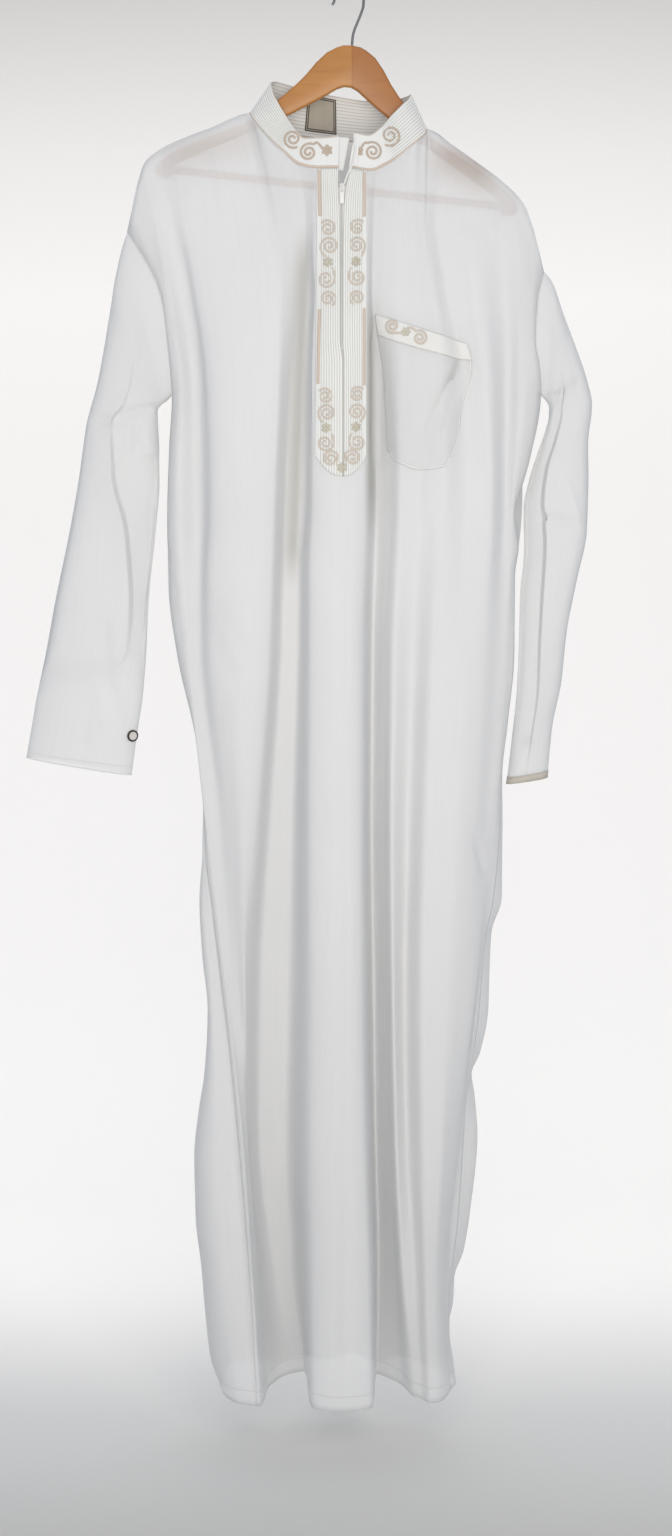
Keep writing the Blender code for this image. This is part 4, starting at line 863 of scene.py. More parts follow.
def add_node(tree, kind, inputs=None, **settings):
    """Adds a shader node with its settings, and its inputs as values or links."""
    node = tree.nodes.new(kind)
    for name, value in settings.items():
        setattr(node, name, value)
    for key, value in (inputs or {}).items():
        if isinstance(value, bpy.types.NodeSocket):
            tree.links.new(value, node.inputs[key])
        else:
            node.inputs[key].default_value = value
    return node


def math_node(tree, operation, *values):
    return add_node(tree, "ShaderNodeMath", dict(enumerate(values)), operation=operation).outputs[0]


def mixed(tree, factor, first, second):
    """Two colours, mixed by a factor."""
    inputs = {"Factor": factor, "A": first, "B": second}
    return add_node(tree, "ShaderNodeMix", inputs, data_type="RGBA").outputs["Result"]


def linear(hex_colour):
    """An sRGB hex colour as linear red, green, blue and alpha."""
    parts = [int(hex_colour[i : i + 2], 16) / 255 for i in (0, 2, 4)]
    return (*[p / 12.92 if p <= 0.04045 else ((p + 0.055) / 1.055) ** 2.4 for p in parts], 1)


def new_material(name, roughness, metallic=0.0):
    """A material with one Principled shader, and that shader."""
    material = bpy.data.materials.new(name)
    material.use_nodes = True
    tree = material.node_tree
    tree.nodes.clear()
    shader = add_node(tree, "ShaderNodeBsdfPrincipled", {"Roughness": roughness, "Metallic": metallic})
    add_node(tree, "ShaderNodeOutputMaterial", {"Surface": shader.outputs["BSDF"]})
    return material, tree, shader


def uv_parts(tree, name):
    spot = add_node(tree, "ShaderNodeUVMap", uv_map=name)
    parts = add_node(tree, "ShaderNodeSeparateXYZ", {"Vector": spot.outputs["UV"]})
    return parts.outputs["X"], parts.outputs["Y"]


def noise(tree, scale, detail=3.0, stretch=(1, 1, 1)):
    """Noise in the object's own space, whose scale is features per metre."""
    place = add_node(tree, "ShaderNodeTexCoord").outputs["Object"]
    place = add_node(tree, "ShaderNodeMapping", {"Vector": place, "Scale": stretch}).outputs["Vector"]
    return add_node(tree, "ShaderNodeTexNoise", {"Vector": place, "Scale": scale, "Detail": detail}).outputs["Fac"]


def pulse(tree, value, centre, half):
    """1 where the value is at the centre, falling to 0 at this distance from it."""
    off = math_node(tree, "ABSOLUTE", math_node(tree, "SUBTRACT", value, centre))
    return math_node(tree, "MAXIMUM", math_node(tree, "SUBTRACT", 1.0, math_node(tree, "DIVIDE", off, half)), 0.0)


def bumped(tree, shader, height, distance, strength):
    inputs = {"Strength": strength, "Distance": distance, "Height": height}
    tree.links.new(add_node(tree, "ShaderNodeBump", inputs).outputs["Normal"], shader.inputs["Normal"])


def woven(tree, thread):
    """The height of a plain weave, with this many metres from thread to thread."""
    waves = [
        math_node(tree, "SINE", math_node(tree, "MULTIPLY", part, 2 * math.pi / thread))
        for part in uv_parts(tree, "cloth")
    ]
    return math_node(tree, "MULTIPLY", *waves)


def fold_shade(tree, start, end, left, right, fade):
    """How far a place is in a fold's shade: 1 on its line, falling to 0 at its two sides and its ends."""
    length = math.dist(start, end)
    across_x, across_z = (end[0] - start[0]) / length, (end[1] - start[1]) / length
    place = add_node(tree, "ShaderNodeTexCoord").outputs["Object"]
    place = add_node(tree, "ShaderNodeSeparateXYZ", {"Vector": place})
    x = math_node(tree, "MULTIPLY_ADD", place.outputs["X"], 1 / MM, -start[0])
    z = math_node(tree, "MULTIPLY_ADD", place.outputs["Z"], 1 / MM, -start[1])
    along = math_node(tree, "ADD", math_node(tree, "MULTIPLY", x, across_x), math_node(tree, "MULTIPLY", z, across_z))
    across = math_node(tree, "SUBTRACT", math_node(tree, "MULTIPLY", z, across_x), math_node(tree, "MULTIPLY", x, across_z))
    share = 1.0
    limits = ((across, -left, 0), (across, right, 0), (along, 0, fade), (along, length, length - fade))
    for value, nothing, full in limits:
        inputs = {"Value": value, "From Min": nothing, "From Max": full}
        part = add_node(tree, "ShaderNodeMapRange", inputs, interpolation_type="SMOOTHSTEP").outputs["Result"]
        share = math_node(tree, "MULTIPLY", part, share)
    return share


def cloth_material(name, light, shade, alpha, thread=0.0009, hemmed=False, ribbed=False, painted_shades=()):
    """Woven polyester: matt and smooth, with faint slubs down the cloth, its tone drifting over a hand's width."""
    material, tree, shader = new_material(name, 0.7)
    colour = mixed(tree, noise(tree, 9.0), linear(light), linear(shade))
    along = add_node(tree, "ShaderNodeUVMap", uv_map="cloth").outputs["UV"]
    along = add_node(tree, "ShaderNodeMapping", {"Vector": along, "Scale": (1, 0.02, 1)}).outputs["Vector"]
    slub = add_node(tree, "ShaderNodeTexNoise", {"Vector": along, "Scale": 420.0, "Detail": 2.0}).outputs["Fac"]
    slub = math_node(tree, "MULTIPLY", math_node(tree, "GREATER_THAN", slub, 0.56), 0.45)
    colour = mixed(tree, slub, colour, linear(shade))
    # Painted shade mixed into the colour along the given lines: fold hollows, the pocket's mouth, the hanger behind
    # the shoulders
    for tone, strength, start, end, left, right, fade in painted_shades:
        share = math_node(tree, "MULTIPLY", fold_shade(tree, start, end, left, right, fade), strength)
        colour = mixed(tree, share, colour, linear(tone))
    height = woven(tree, thread)
    if ribbed:
        # Painted shade in the grooves between the ribs
        number, depth = uv_parts(tree, "ribs")
        wave = math_node(tree, "ABSOLUTE", math_node(tree, "SINE", math_node(tree, "MULTIPLY", number, math.pi)))
        groove_shade = math_node(tree, "MAXIMUM", math_node(tree, "SUBTRACT", 1.0, math_node(tree, "MULTIPLY", wave, 1.8)), 0.0)
        colour = mixed(tree, math_node(tree, "MULTIPLY", groove_shade, depth), colour, linear(RIB_GROOVE_SHADE))
    if hemmed:
        distance = uv_parts(tree, "edge")[1]
        stitch = pulse(tree, distance, 1.0, 0.07)
        fold = math_node(tree, "LESS_THAN", distance, 1.0)
        colour = mixed(tree, math_node(tree, "MULTIPLY", stitch, 0.5), colour, linear(HEM_STITCH))
        height = math_node(tree, "SUBTRACT", height, math_node(tree, "MULTIPLY", stitch, 6.0))
        height = math_node(tree, "ADD", height, math_node(tree, "MULTIPLY", fold, 3.0))
    tree.links.new(colour, shader.inputs["Base Color"])
    bumped(tree, shader, height, 0.00015, 0.5)
    shader.inputs["Sheen Weight"].default_value = 0.1
    shader.inputs["Sheen Roughness"].default_value = 0.4
    shader.inputs["Alpha"].default_value = alpha
    return material


def thread_material(name, light, shade):
    """Braid and embroidery: dull thread, twisted every millimetre, with a shade between its turns."""
    material, tree, shader = new_material(name, 0.65)
    along, across = uv_parts(tree, "cloth")
    slant = math_node(tree, "ADD", math_node(tree, "MULTIPLY", along, 2 * math.pi / 0.0011),
                      math_node(tree, "MULTIPLY", across, 2 * math.pi))
    twist = math_node(tree, "SINE", slant)
    factor = math_node(tree, "MULTIPLY_ADD", twist, 0.35, 0.5)
    # Painted shade between the thread's turns, set by the twist that also makes its relief
    tree.links.new(mixed(tree, factor, linear(shade), linear(light)), shader.inputs["Base Color"])
    bumped(tree, shader, twist, 0.0002, 0.7)
    return material


def wood_material():
    """Varnished beech: fine grain along the arms, short dark flecks, and the two halves unlike in tone."""
    material, tree, shader = new_material("varnished_beech", 0.45)
    grain = noise(tree, 30.0, 5.0, (0.35, 3.0, 3.0))
    flecks = noise(tree, 260.0, 2.0, (0.12, 1.0, 1.0))
    colour = mixed(tree, grain, linear("C08442"), linear("AA7032"))
    spot = math_node(tree, "GREATER_THAN", flecks, 0.62)
    colour = mixed(tree, math_node(tree, "MULTIPLY", spot, 0.18), colour, linear("8A5428"))
    place = add_node(tree, "ShaderNodeTexCoord").outputs["Object"]
    x = add_node(tree, "ShaderNodeSeparateXYZ", {"Vector": place}).outputs["X"]
    far_half = math_node(tree, "GREATER_THAN", x, HANGER_APEX[0] * MM)
    colour = mixed(tree, math_node(tree, "MULTIPLY", far_half, 0.5), colour, linear("96582C"))
    joint = pulse(tree, x, HANGER_APEX[0] * MM, 0.0005)
    colour = mixed(tree, math_node(tree, "MULTIPLY", joint, 0.6), colour, linear("6E4220"))
    tree.links.new(colour, shader.inputs["Base Color"])
    bumped(tree, shader, grain, 0.0004, 0.25)
    shader.inputs["Coat Weight"].default_value = 0.15
    shader.inputs["Coat Roughness"].default_value = 0.2
    return material


def worn_material(name, light, shade, roughness, metallic=0.0, scale=120.0):
    """Plastic, enamel or wire: one colour that drifts a little, with fine marks."""
    material, tree, shader = new_material(name, roughness, metallic)
    tree.links.new(mixed(tree, noise(tree, scale), linear(light), linear(shade)), shader.inputs["Base Color"])
    bumped(tree, shader, noise(tree, scale * 8), 0.00008, 0.3)
    return material


def label_material(width, height):
    """Woven damask, bare inside a dark double border that is set by the label's own UV map in metres."""
    material, tree, shader = new_material("woven_label", 0.8)
    nearest = []
    for part, size in zip(uv_parts(tree, "cloth"), (width, height)):
        nearest.append(math_node(tree, "MINIMUM", part, math_node(tree, "SUBTRACT", size, part)))
    edge = math_node(tree, "MINIMUM", *nearest)
    border = math_node(tree, "LESS_THAN", edge, 0.0012)
    line = math_node(tree, "GREATER_THAN", pulse(tree, edge, 0.0027, 0.0008), 0.3)
    dark = math_node(tree, "MAXIMUM", border, line)
    ground = mixed(tree, noise(tree, 90.0), linear("BDB8AA"), linear("A8A294"))
    tree.links.new(mixed(tree, dark, ground, linear("3A342E")), shader.inputs["Base Color"])
    bumped(tree, shader, woven(tree, 0.0006), 0.0002, 0.5)
    return material


def add_piece(name, points, faces, material, uv=None, body=BODY):
    """A mesh piece from points in millimetres, with a UV for each point."""
    mesh = bpy.data.meshes.new(name)
    mesh.from_pydata((np.asarray(points) * MM).tolist(), [], faces)
    if uv is not None:
        corner_points = np.empty(len(mesh.loops), dtype=np.int32)
        mesh.loops.foreach_get("vertex_index", corner_points)
        layer = mesh.uv_layers.new(name="cloth")
        layer.data.foreach_set("uv", np.asarray(uv)[corner_points].astype(np.float32).ravel())
    mesh.shade_smooth()
    mesh.materials.append(material)
    piece = bpy.data.objects.new(name, mesh)
    bpy.context.scene.collection.objects.link(piece)
    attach(piece, body)
    return piece


def make_body(cloth, front_cloth):
    """Front, back and both sleeves. Returns their grids and normals, and the pieces."""
    grids = {}
    starts = {}
    for name, folds, side in (("front_panel", FRONT_FOLDS, -1), ("back_panel", BACK_FOLDS, 1)):
        grids[name], starts[name] = panel(folds, side)
    front, back = grids["front_panel"], grids["back_panel"]
    under = FINE_UPPER
    for name, edge, rows in (("sleeve_right", 0, RIGHT_SLEEVE), ("sleeve_left", -1, LEFT_SLEEVE)):
        armhole = np.vstack([front[: under + 1, edge], back[under - 1 : 0 : -1, edge]])
        grids[name] = sleeve(armhole, rows)
    normals = {}
    for name, side, creases in (("front_panel", -1, FRONT_CREASES), ("back_panel", 1, BACK_CREASES)):
        grid = press(grids[name], outward(grids[name], False, side), creases)
        grid[0, ~in_neck(grid[0, :, 0]), 1] = side * SEAM_SHOWN
        normals[name] = outward(grid, False, side)
        normals[name][0, ~in_neck(grid[0, :, 0]), 1] = 0
        grids[name] = grid
    for name in ("sleeve_right", "sleeve_left"):
        rings = grids[name]
        around = outward(rings, True, 0)
        ahead = soft_step(0.5 - 2 * around[..., 1])
        rings = press(rings, around * ahead[..., None], SLEEVE_CREASES[name])
        rings = press(rings, around * (1 - ahead)[..., None], SLEEVE_BACK_CREASES[name])
        normals[name] = outward(rings, True, 0)
        grids[name] = rings
    slit = [fold[0] for fold in FRONT_FOLDS].index("slit_right_edge")
    columns = range(*starts["front_panel"][slit : slit + 2])
    cut = {(r, c) for r in range(under) for c in columns if front[r + 1, c, 2] > PANEL_SLIT_END}
    pieces = {}
    for name, grid in grids.items():
        closed = name.startswith("sleeve")
        piece = shell(
            name + "_cloth", grid, unit(normals[name]), SHEET, front_cloth if name == "front_panel" else cloth, closed,
            cut if name == "front_panel" else (), CUFF_HEM if closed else BODY_HEM,
        )
        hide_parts(name)
        pieces[name] = piece
    return grids, normals, pieces


def surface_spot(tree, x, z):
    """Where a line from the front meets a surface at x and z, and the normal there that faces the front."""
    hit, normal, _, _ = tree.ray_cast(Vector((x, -AHEAD, z)), Vector((0, 1, 0)))
    return np.array(hit), np.array(normal) * (-1 if normal.y > 0 else 1)


def even_run(points, step):
    """A smooth line through the points, with a point about every step."""
    points = np.array(points, float)
    run = np.concatenate([[0], np.cumsum(np.linalg.norm(np.diff(points, axis=0), axis=1))])
    return smooth(run, points, np.linspace(0, run[-1], max(3, round(run[-1] / step) + 1)))


def laid(tree, path, step=BRAID_STEP):
    """Points and normals along a path of x, z, on the surface under it."""
    found = [surface_spot(tree, x, z) for x, z in even_run(path, step)]
    points = np.array([hit for hit, _ in found])
    normals = np.array([normal for _, normal in found])
    padded = np.vstack([normals[:1], normals, normals[-1:]])
    return points, unit(padded[:-2] + padded[1:-1] + padded[2:])


def braid(name, runs, width, height, material):
    """Flattened cords that follow runs of points and normals, joined as one piece."""
    points = []
    faces = []
    uv = []
    ring = len(BRAID_RING)
    for at, normals in runs:
        side = unit(np.cross(np.gradient(at, axis=0), normals))
        run = np.concatenate([[0], np.cumsum(np.linalg.norm(np.diff(at, axis=0), axis=1))])
        first = len(points)
        for spot, normal, across, length in zip(at, normals, side, run):
            for number, (off, up) in enumerate(BRAID_RING):
                points.append(spot + across * off * width + normal * up * height)
                uv.append((length * MM, number / ring))
        for row in range(len(at) - 1):
            start = first + row * ring
            for i in range(ring):
                after = (i + 1) % ring
                faces.append((start + i, start + after, start + ring + after, start + ring + i))
        faces.append(tuple(range(first + ring - 1, first - 1, -1)))
        faces.append(tuple(range(len(points) - ring, len(points))))
    return add_piece(name, points, faces, material, uv)


def stitches(run, length=2.2, gap=1.1):
    """A run of points and normals as separate stitches."""
    at, normals = run
    place = np.concatenate([[0], np.cumsum(np.linalg.norm(np.diff(at, axis=0), axis=1))])
    made = []
    for start in np.arange(gap, place[-1] - length, length + gap):
        wanted = start + length * np.array([0, 0.5, 1])
        made.append((smooth(place, at, wanted), unit(smooth(place, normals, wanted))))
    return made


def scroll(x, z, radius, start, way, *tail):
    """Points x, z of a scroll: its tail, and then a spiral from its rim in to its eye."""
    share = np.linspace(0, 1, SCROLL_STEPS)
    turn = math.radians(start) + way * 2 * math.pi * SCROLL_TURNS * share
    reach = radius * (1 - (1 - SCROLL_EYE) * share**0.9)
    spiral = np.stack([x + reach * np.cos(turn), z + reach * np.sin(turn)], axis=1)
    return np.vstack([*tail, spiral]) if tail else spiral


def motifs(name, tree, places, material):
    """Small embroidered rosettes: raised leaves round a bud."""
    points = []
    faces = []
    uv = []
    for x, z, size, turn, leaves in places:
        blobs = [(x, z, 0.16 * size, 0.16 * size, 0.0)]
        for leaf in range(leaves):
            angle = math.radians(turn) + 2 * math.pi * leaf / leaves
            blobs.append((x + 0.3 * size * math.cos(angle), z + 0.3 * size * math.sin(angle), 0.22 * size,
                          0.3 * size * math.sin(math.pi / leaves) + 0.02 * size, angle))
        for bx, bz, long, wide, angle in blobs:
            first = len(points)
            for reach, up in MOTIF_RINGS:
                for step in range(MOTIF_SIDES):
                    t = 2 * math.pi * step / MOTIF_SIDES
                    u = long * reach * math.cos(t)
                    v = wide * reach * math.sin(t)
                    spot, normal = surface_spot(
                        tree, bx + u * math.cos(angle) - v * math.sin(angle), bz + u * math.sin(angle) + v * math.cos(angle)
                    )
                    points.append(spot + normal * up * MOTIF_HEIGHT)
                    uv.append((u * MM, step / MOTIF_SIDES))
            for row in range(len(MOTIF_RINGS) - 1):
                for i in range(MOTIF_SIDES):
                    after = (i + 1) % MOTIF_SIDES
                    start = first + row * MOTIF_SIDES
                    faces.append((start + i, start + after, start + MOTIF_SIDES + after, start + MOTIF_SIDES + i))
            faces.append(tuple(range(first + MOTIF_SIDES - 1, first - 1, -1)))
            faces.append(tuple(range(len(points) - MOTIF_SIDES, len(points))))
    return add_piece(name, points, faces, material, uv)


def ornament(tree, part, braid_cloth, motif_cloth):
    """The braid scrolls and the rosettes of one part."""
    paths = [scroll(*row[1:6], *[np.array([spot], float) for spot in row[6:]]) for row in SCROLLS if row[0] == part]
    runs = [laid(tree, path) for path in paths]
    places = [row[1:] for row in MOTIFS if row[0] == part]
    return [
        braid(part + "_scrolls", runs, BRAID_WIDTH, BRAID_HEIGHT, braid_cloth),
        motifs(part + "_rosettes", tree, places, motif_cloth),
    ]


def make_placket(tree, cloth):
    """The ribbed strip: two halves either side of the zip's slit, joined under it, with a rounded end."""
    edge_rows = np.array(PLACKET_EDGES, float)
    slit_rows = np.array(SLIT, float)
    per_half = FINE_RIBS * RIB_POINTS + 1
    outer = []
    ribs = []
    cut = set()
    for row in range(PLACKET_FINE_ROWS + 1):
        line = []
        for half in (-1, 1):
            for column in range(per_half):
                across = column / (per_half - 1)
                from_middle = 1 - across if half < 0 else across
                foot = PLACKET_TIP + (PLACKET_CORNER - PLACKET_TIP) * from_middle**TIP_ROUNDING
                head = PLACKET_TOP - (PLACKET_TOP_DROP * from_middle if half > 0 else 0)
                z = head + row / PLACKET_FINE_ROWS * (foot - head)
                edges = smooth(edge_rows[:, 0], edge_rows[:, 1:], z)
                middle, open_half = smooth(slit_rows[:, 0], slit_rows[:, 1:], z)
                slit_x = middle + half * open_half
                edge_x = edges[0] if half < 0 else edges[1]
                rib = abs(math.sin(math.pi * FINE_RIBS * from_middle)) ** 0.6 if from_middle < RIBBED_SHARE else 0.9
                lift = LAY_GAP + PLACKET_WALL + RIB_HEIGHT * rib
                line.append(lie_on(tree, slit_x + (edge_x - slit_x) * from_middle, z, lift))
                ribs.append((FINE_RIBS * from_middle, float(from_middle < RIBBED_SHARE)))
        if line[per_half][2] > SLIT_END:
            cut.add((row, per_half - 1))
        outer.append(line)
    grid = np.array(outer)
    inside = np.array([[lie_on(tree, x, z, LAY_GAP) for x, _, z in line] for line in outer])
    piece = shell("placket_strip", grid, outward(grid, False, -1), PLACKET_WALL, cloth, cut=cut, inside=inside,
                  ribs=np.array(ribs))
    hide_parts("placket")
    return grid, piece


def make_zip(tree, tape_cloth, white_thread, teeth_plastic, enamel):
    """Tapes in the panel's slit, their coil of teeth, the slider and the pull tab."""
    slit_rows = np.array(SLIT, float)
    folds = {fold[0]: fold_rows(fold[3]) for fold in FRONT_FOLDS}
    tapes = []
    teeth = []
    for name, half, edge in (("zip_tape_right", -1, "slit_right_edge"), ("zip_tape_left", 1, "slit_left_edge")):
        rows = []
        for z in np.linspace(TAPE_TOP, TAPE_END, 60):
            middle, open_half = smooth(slit_rows[:, 0], slit_rows[:, 1:], z)
            spread = max(open_half - TAPE_BESIDE_SLIT, 0) if z > SLIDER_Z else 0
            start = at_height(folds[edge], z)[0] - half * TAPE_INSET
            end = middle + half * (SEAM + spread)
            rows.append([lie_on(tree, start + (end - start) * share, z, 0) for share in np.linspace(0, 1, 9)])
        grid = np.array(rows)
        piece = shell(name + "_cloth", grid, outward(grid, False, -1), TAPE * 0.8, tape_cloth)
        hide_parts(name)
        tapes.append(piece)
        inner = grid[:, -1]
        run = even_run(inner, TOOTH_PITCH)
        way = np.array([float(-half), 0, 0])
        for number, spot in enumerate(run):
            start = spot + (0, -0.3, TOOTH_PITCH / 2 if half > 0 else 0)
            teeth.append((np.array([start - way, start, start + way]), np.tile((0, -1.0, 0), (3, 1))))
    for name, edge_top, inner_top, edge_foot, inner_foot in COLLAR_TAPES:
        share = np.linspace(0, 1, 9)[None, :, None]
        down = np.linspace(0, 1, 24)[:, None, None]
        top = np.array(edge_top) + (np.array(inner_top) - edge_top) * share
        low = np.array(edge_foot) + (np.array(inner_foot) - edge_foot) * share
        place = top + (low - top) * down
        z = np.broadcast_to(COLLAR_TAPE_TOP + (TAPE_TOP - COLLAR_TAPE_TOP) * down, place.shape[:2] + (1,))
        grid = np.concatenate([place, z], axis=2)
        piece = shell(f"zip_tape_{name}_in_collar", grid, outward(grid, False, -1), TAPE * 0.5, tape_cloth)
        tapes.append(piece)
    fold = even_run(TAPE_FOLD, 1.5)
    ahead = np.tile((0.3, -0.95, 0), (len(fold), 1))
    tape_fold = braid("zip_tape_fold", [(fold, ahead)], TAPE_FOLD_WIDTH, 1.0, white_thread)
    coil = braid("zip_teeth", teeth, 1.1, 1.6, teeth_plastic)
    middle = smooth(slit_rows[:, 0], slit_rows[:, 1:], SLIDER_Z)[0]
    back = lie_on(tree, middle, SLIDER_Z, TOUCH)[1]
    slider = plate("zip_slider_finish", SLIDER_OUTLINE, (), SLIDER[1], 0.7, enamel,
                   (middle, back - SLIDER[1] / 2, SLIDER_Z))
    bridge_y = back - SLIDER[1] - BRIDGE[1] / 2
    saddle = [
        (middle, back - SLIDER[1] + 0.3, SLIDER_Z + BRIDGE[2] / 2), (middle, bridge_y - 0.6, SLIDER_Z + BRIDGE[2] / 2),
        (middle, bridge_y - BRIDGE[1] / 2 + 0.4, SLIDER_Z), (middle, bridge_y - 0.6, SLIDER_Z - BRIDGE[2] / 2),
        (middle, back - SLIDER[1] + 0.3, SLIDER_Z - BRIDGE[2] / 2),
    ]
    bow = even_run(saddle, 0.4) - (BRIDGE_BAR / 2, 0, 0)
    bridge = braid("zip_slider_bridge", [(bow, np.tile((1.0, 0, 0), (len(bow), 1)))], 0.9, 0.9, enamel)
    tunnel_y = bridge_y + BRIDGE_BAR / 2
    top = SLIDER_Z - PULL_DROP + PULL[1] / 2
    pull = plate("zip_pull_finish", PULL_OUTLINE, PULL_HOLE, PULL[1], 0.25, enamel,
                 (middle, tunnel_y, top), body="pull_tab")
    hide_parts("zip_slider")
    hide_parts("zip_pull")
    return tapes, coil, tape_fold


def plate(name, outline, hole, thick, edge, material, place, body=BODY):
    """A flat plate with rounded edges, from an outline and a hole of as many points in x and z."""
    count = len(outline)
    points = [(x, 0, z) for x, z in [*outline, *hole]]
    if hole:
        faces = [(i, (i + 1) % count, count + (i + 1) % count, count + i) for i in range(count)]
    else:
        faces = [tuple(range(count))]
    piece = add_piece(name, np.array(points, float) + place, faces, material, body=body)
    solid = piece.modifiers.new("thickness", "SOLIDIFY")
    solid.thickness = thick * MM
    solid.offset = 0
    rim = piece.modifiers.new("rim", "BEVEL")
    rim.width = edge * MM
    rim.segments = 3
    rim.limit_method = "ANGLE"
    rim.angle_limit = math.radians(50)
    return piece


def pocket_spot(tree, across, down, clear):
    sides = np.array(POCKET_SIDES, float)
    foot = np.array(POCKET_FOOT, float)
    right, left = smooth(sides[:, 0], sides[:, 1:], down)
    top = POCKET_TOP[0] + (POCKET_TOP[1] - POCKET_TOP[0]) * across
    low = smooth(foot[:, 0], foot[:, 1], across)
    belly = POCKET_BELLY * math.sin(math.pi * across) ** 0.7 * math.cos(math.pi / 2 * down) ** 2
    return lie_on(tree, right + (left - right) * across, top + (low - top) * down, clear + belly)


def make_pocket(tree, cloth, band_cloth):
    """The patch pocket and the band along its top."""
    span = BAND_HEIGHT / (POCKET_TOP[0] - POCKET_FOOT[0][1])
    made = []
    for name, node, down_to, rows, clear, thick, material in (
        ("chest_pocket_cloth", "chest_pocket", 1, 90, POCKET_GAP, SHEET, cloth),
        ("pocket_band_cloth", "pocket_band", span, 16, POCKET_GAP + SHEET + BAND_GAP, BAND_WALL, band_cloth),
    ):
        across = np.linspace(0, 1, 73)
        grid = np.array([
            [pocket_spot(tree, a, d, clear + thick) for a in across] for d in np.linspace(0, down_to, rows + 1)
        ])
        normals = outward(grid, False, -1)
        if node == "chest_pocket":
            grid = press(grid, normals, POCKET_CREASES)
            normals = outward(grid, False, -1)
        piece = shell(name, grid, normals, thick, material)
        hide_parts(node)
        made.append((grid, normals, piece))
    return made


def collar_surface(stations, heights):
    """Outer points of the collar at stations and shares of its height, and the normals there."""
    grid = np.array([collar_point(stations, height) for height in heights])
    normals = unit(summed_normals(grid))
    middle = np.array([sum(row[1][axis] for row in COLLAR) / len(COLLAR) for axis in range(3)])
    return grid, normals if (normals * (grid - middle)).sum() > 0 else -normals


def make_collar(cloth):
    """The standing band, quilted with fine lines of stitching at its sides and back."""
    stations = np.linspace(0, len(COLLAR) - 1, COLLAR_COLUMNS + 1)
    heights = np.linspace(1, 0, COLLAR_FINE_ROWS + 1)
    grid, normals = collar_surface(stations, heights)
    quilted = soft_step((stations - QUILT_FROM) / 0.5) * soft_step((QUILT_TO - stations) / 0.5)
    rib = np.abs(np.sin(math.pi * COLLAR_RIBS * heights))[:, None] ** 0.6
    depth = RIB_HEIGHT * (rib - 1) * quilted
    turned = TURNED_END * soft_step((stations - TURNED_FROM) / 1.2) * np.sin(math.pi * heights)[:, None] ** 0.5
    inside = grid - (COLLAR_WALL + turned)[..., None] * normals
    grid = grid + (depth - turned)[..., None] * normals
    ribs = np.stack(np.broadcast_arrays(COLLAR_RIBS * heights[:, None], quilted), axis=-1)
    piece = shell("collar_band_cloth", grid, normals, COLLAR_WALL, cloth, inside=inside, ribs=ribs)
    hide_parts("collar_band")
    return grid, outward(grid, True, 0), piece


def make_label():
    """The woven label inside the back of the collar, bare inside its border."""
    grid, normals = collar_surface(np.linspace(*LABEL_STATIONS, 25), np.linspace(*LABEL_SHOWN[::-1], 25))
    grid = grid - (COLLAR_WALL + TOUCH) * normals
    size = [np.linalg.norm(np.diff(grid, axis=axis), axis=-1).sum(axis=axis).mean() * MM for axis in (1, 0)]
    label = shell("neck_label_cloth", grid - LABEL_THICK * normals, -normals, LABEL_THICK, label_material(*size))
    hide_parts("neck_label")
    return label


def make_button(name, node, tree, start, way, dark, light):
    """A turned button with a raised dark rim round a pale dished face."""
    hit, normal, _, _ = tree.ray_cast(Vector(start), -Vector(way))
    if normal.dot(Vector(start) - hit) < 0:
        normal = -normal
    turn = normal.to_track_quat("Z", "Y").to_matrix()
    centre = hit + normal * BUTTON_GAP
    for suffix, profile, material in (("rim", BUTTON_RIM_PROFILE, dark), ("face", BUTTON_FACE_PROFILE, light)):
        points = []
        for radius, height in profile:
            for step in range(BUTTON_SIDES):
                angle = 2 * math.pi * step / BUTTON_SIDES
                points.append(centre + turn @ Vector((radius * math.cos(angle), radius * math.sin(angle), height)))
        faces = []
        for row in range(len(profile) - 1):
            for i in range(BUTTON_SIDES):
                after = (i + 1) % BUTTON_SIDES
                start_row = row * BUTTON_SIDES
                faces.append((start_row + i, start_row + after, start_row + BUTTON_SIDES + after, start_row + BUTTON_SIDES + i))
        faces.append(tuple(range(BUTTON_SIDES - 1, -1, -1)))
        faces.append(tuple(range(len(points) - BUTTON_SIDES, len(points))))
        piece = add_piece(f"{name}_{suffix}", points, faces, material)
        piece.data.set_sharp_from_angle(angle=math.radians(40))
        if suffix == "rim":
            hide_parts(node)


def hanger_place(out, up):
    """A point of the hanger's own frame, as x and z."""
    cos, sin = math.cos(HANGER_TILT), math.sin(HANGER_TILT)
    return HANGER_APEX[0] + out * cos + up * sin, HANGER_APEX[1] - out * sin + up * cos


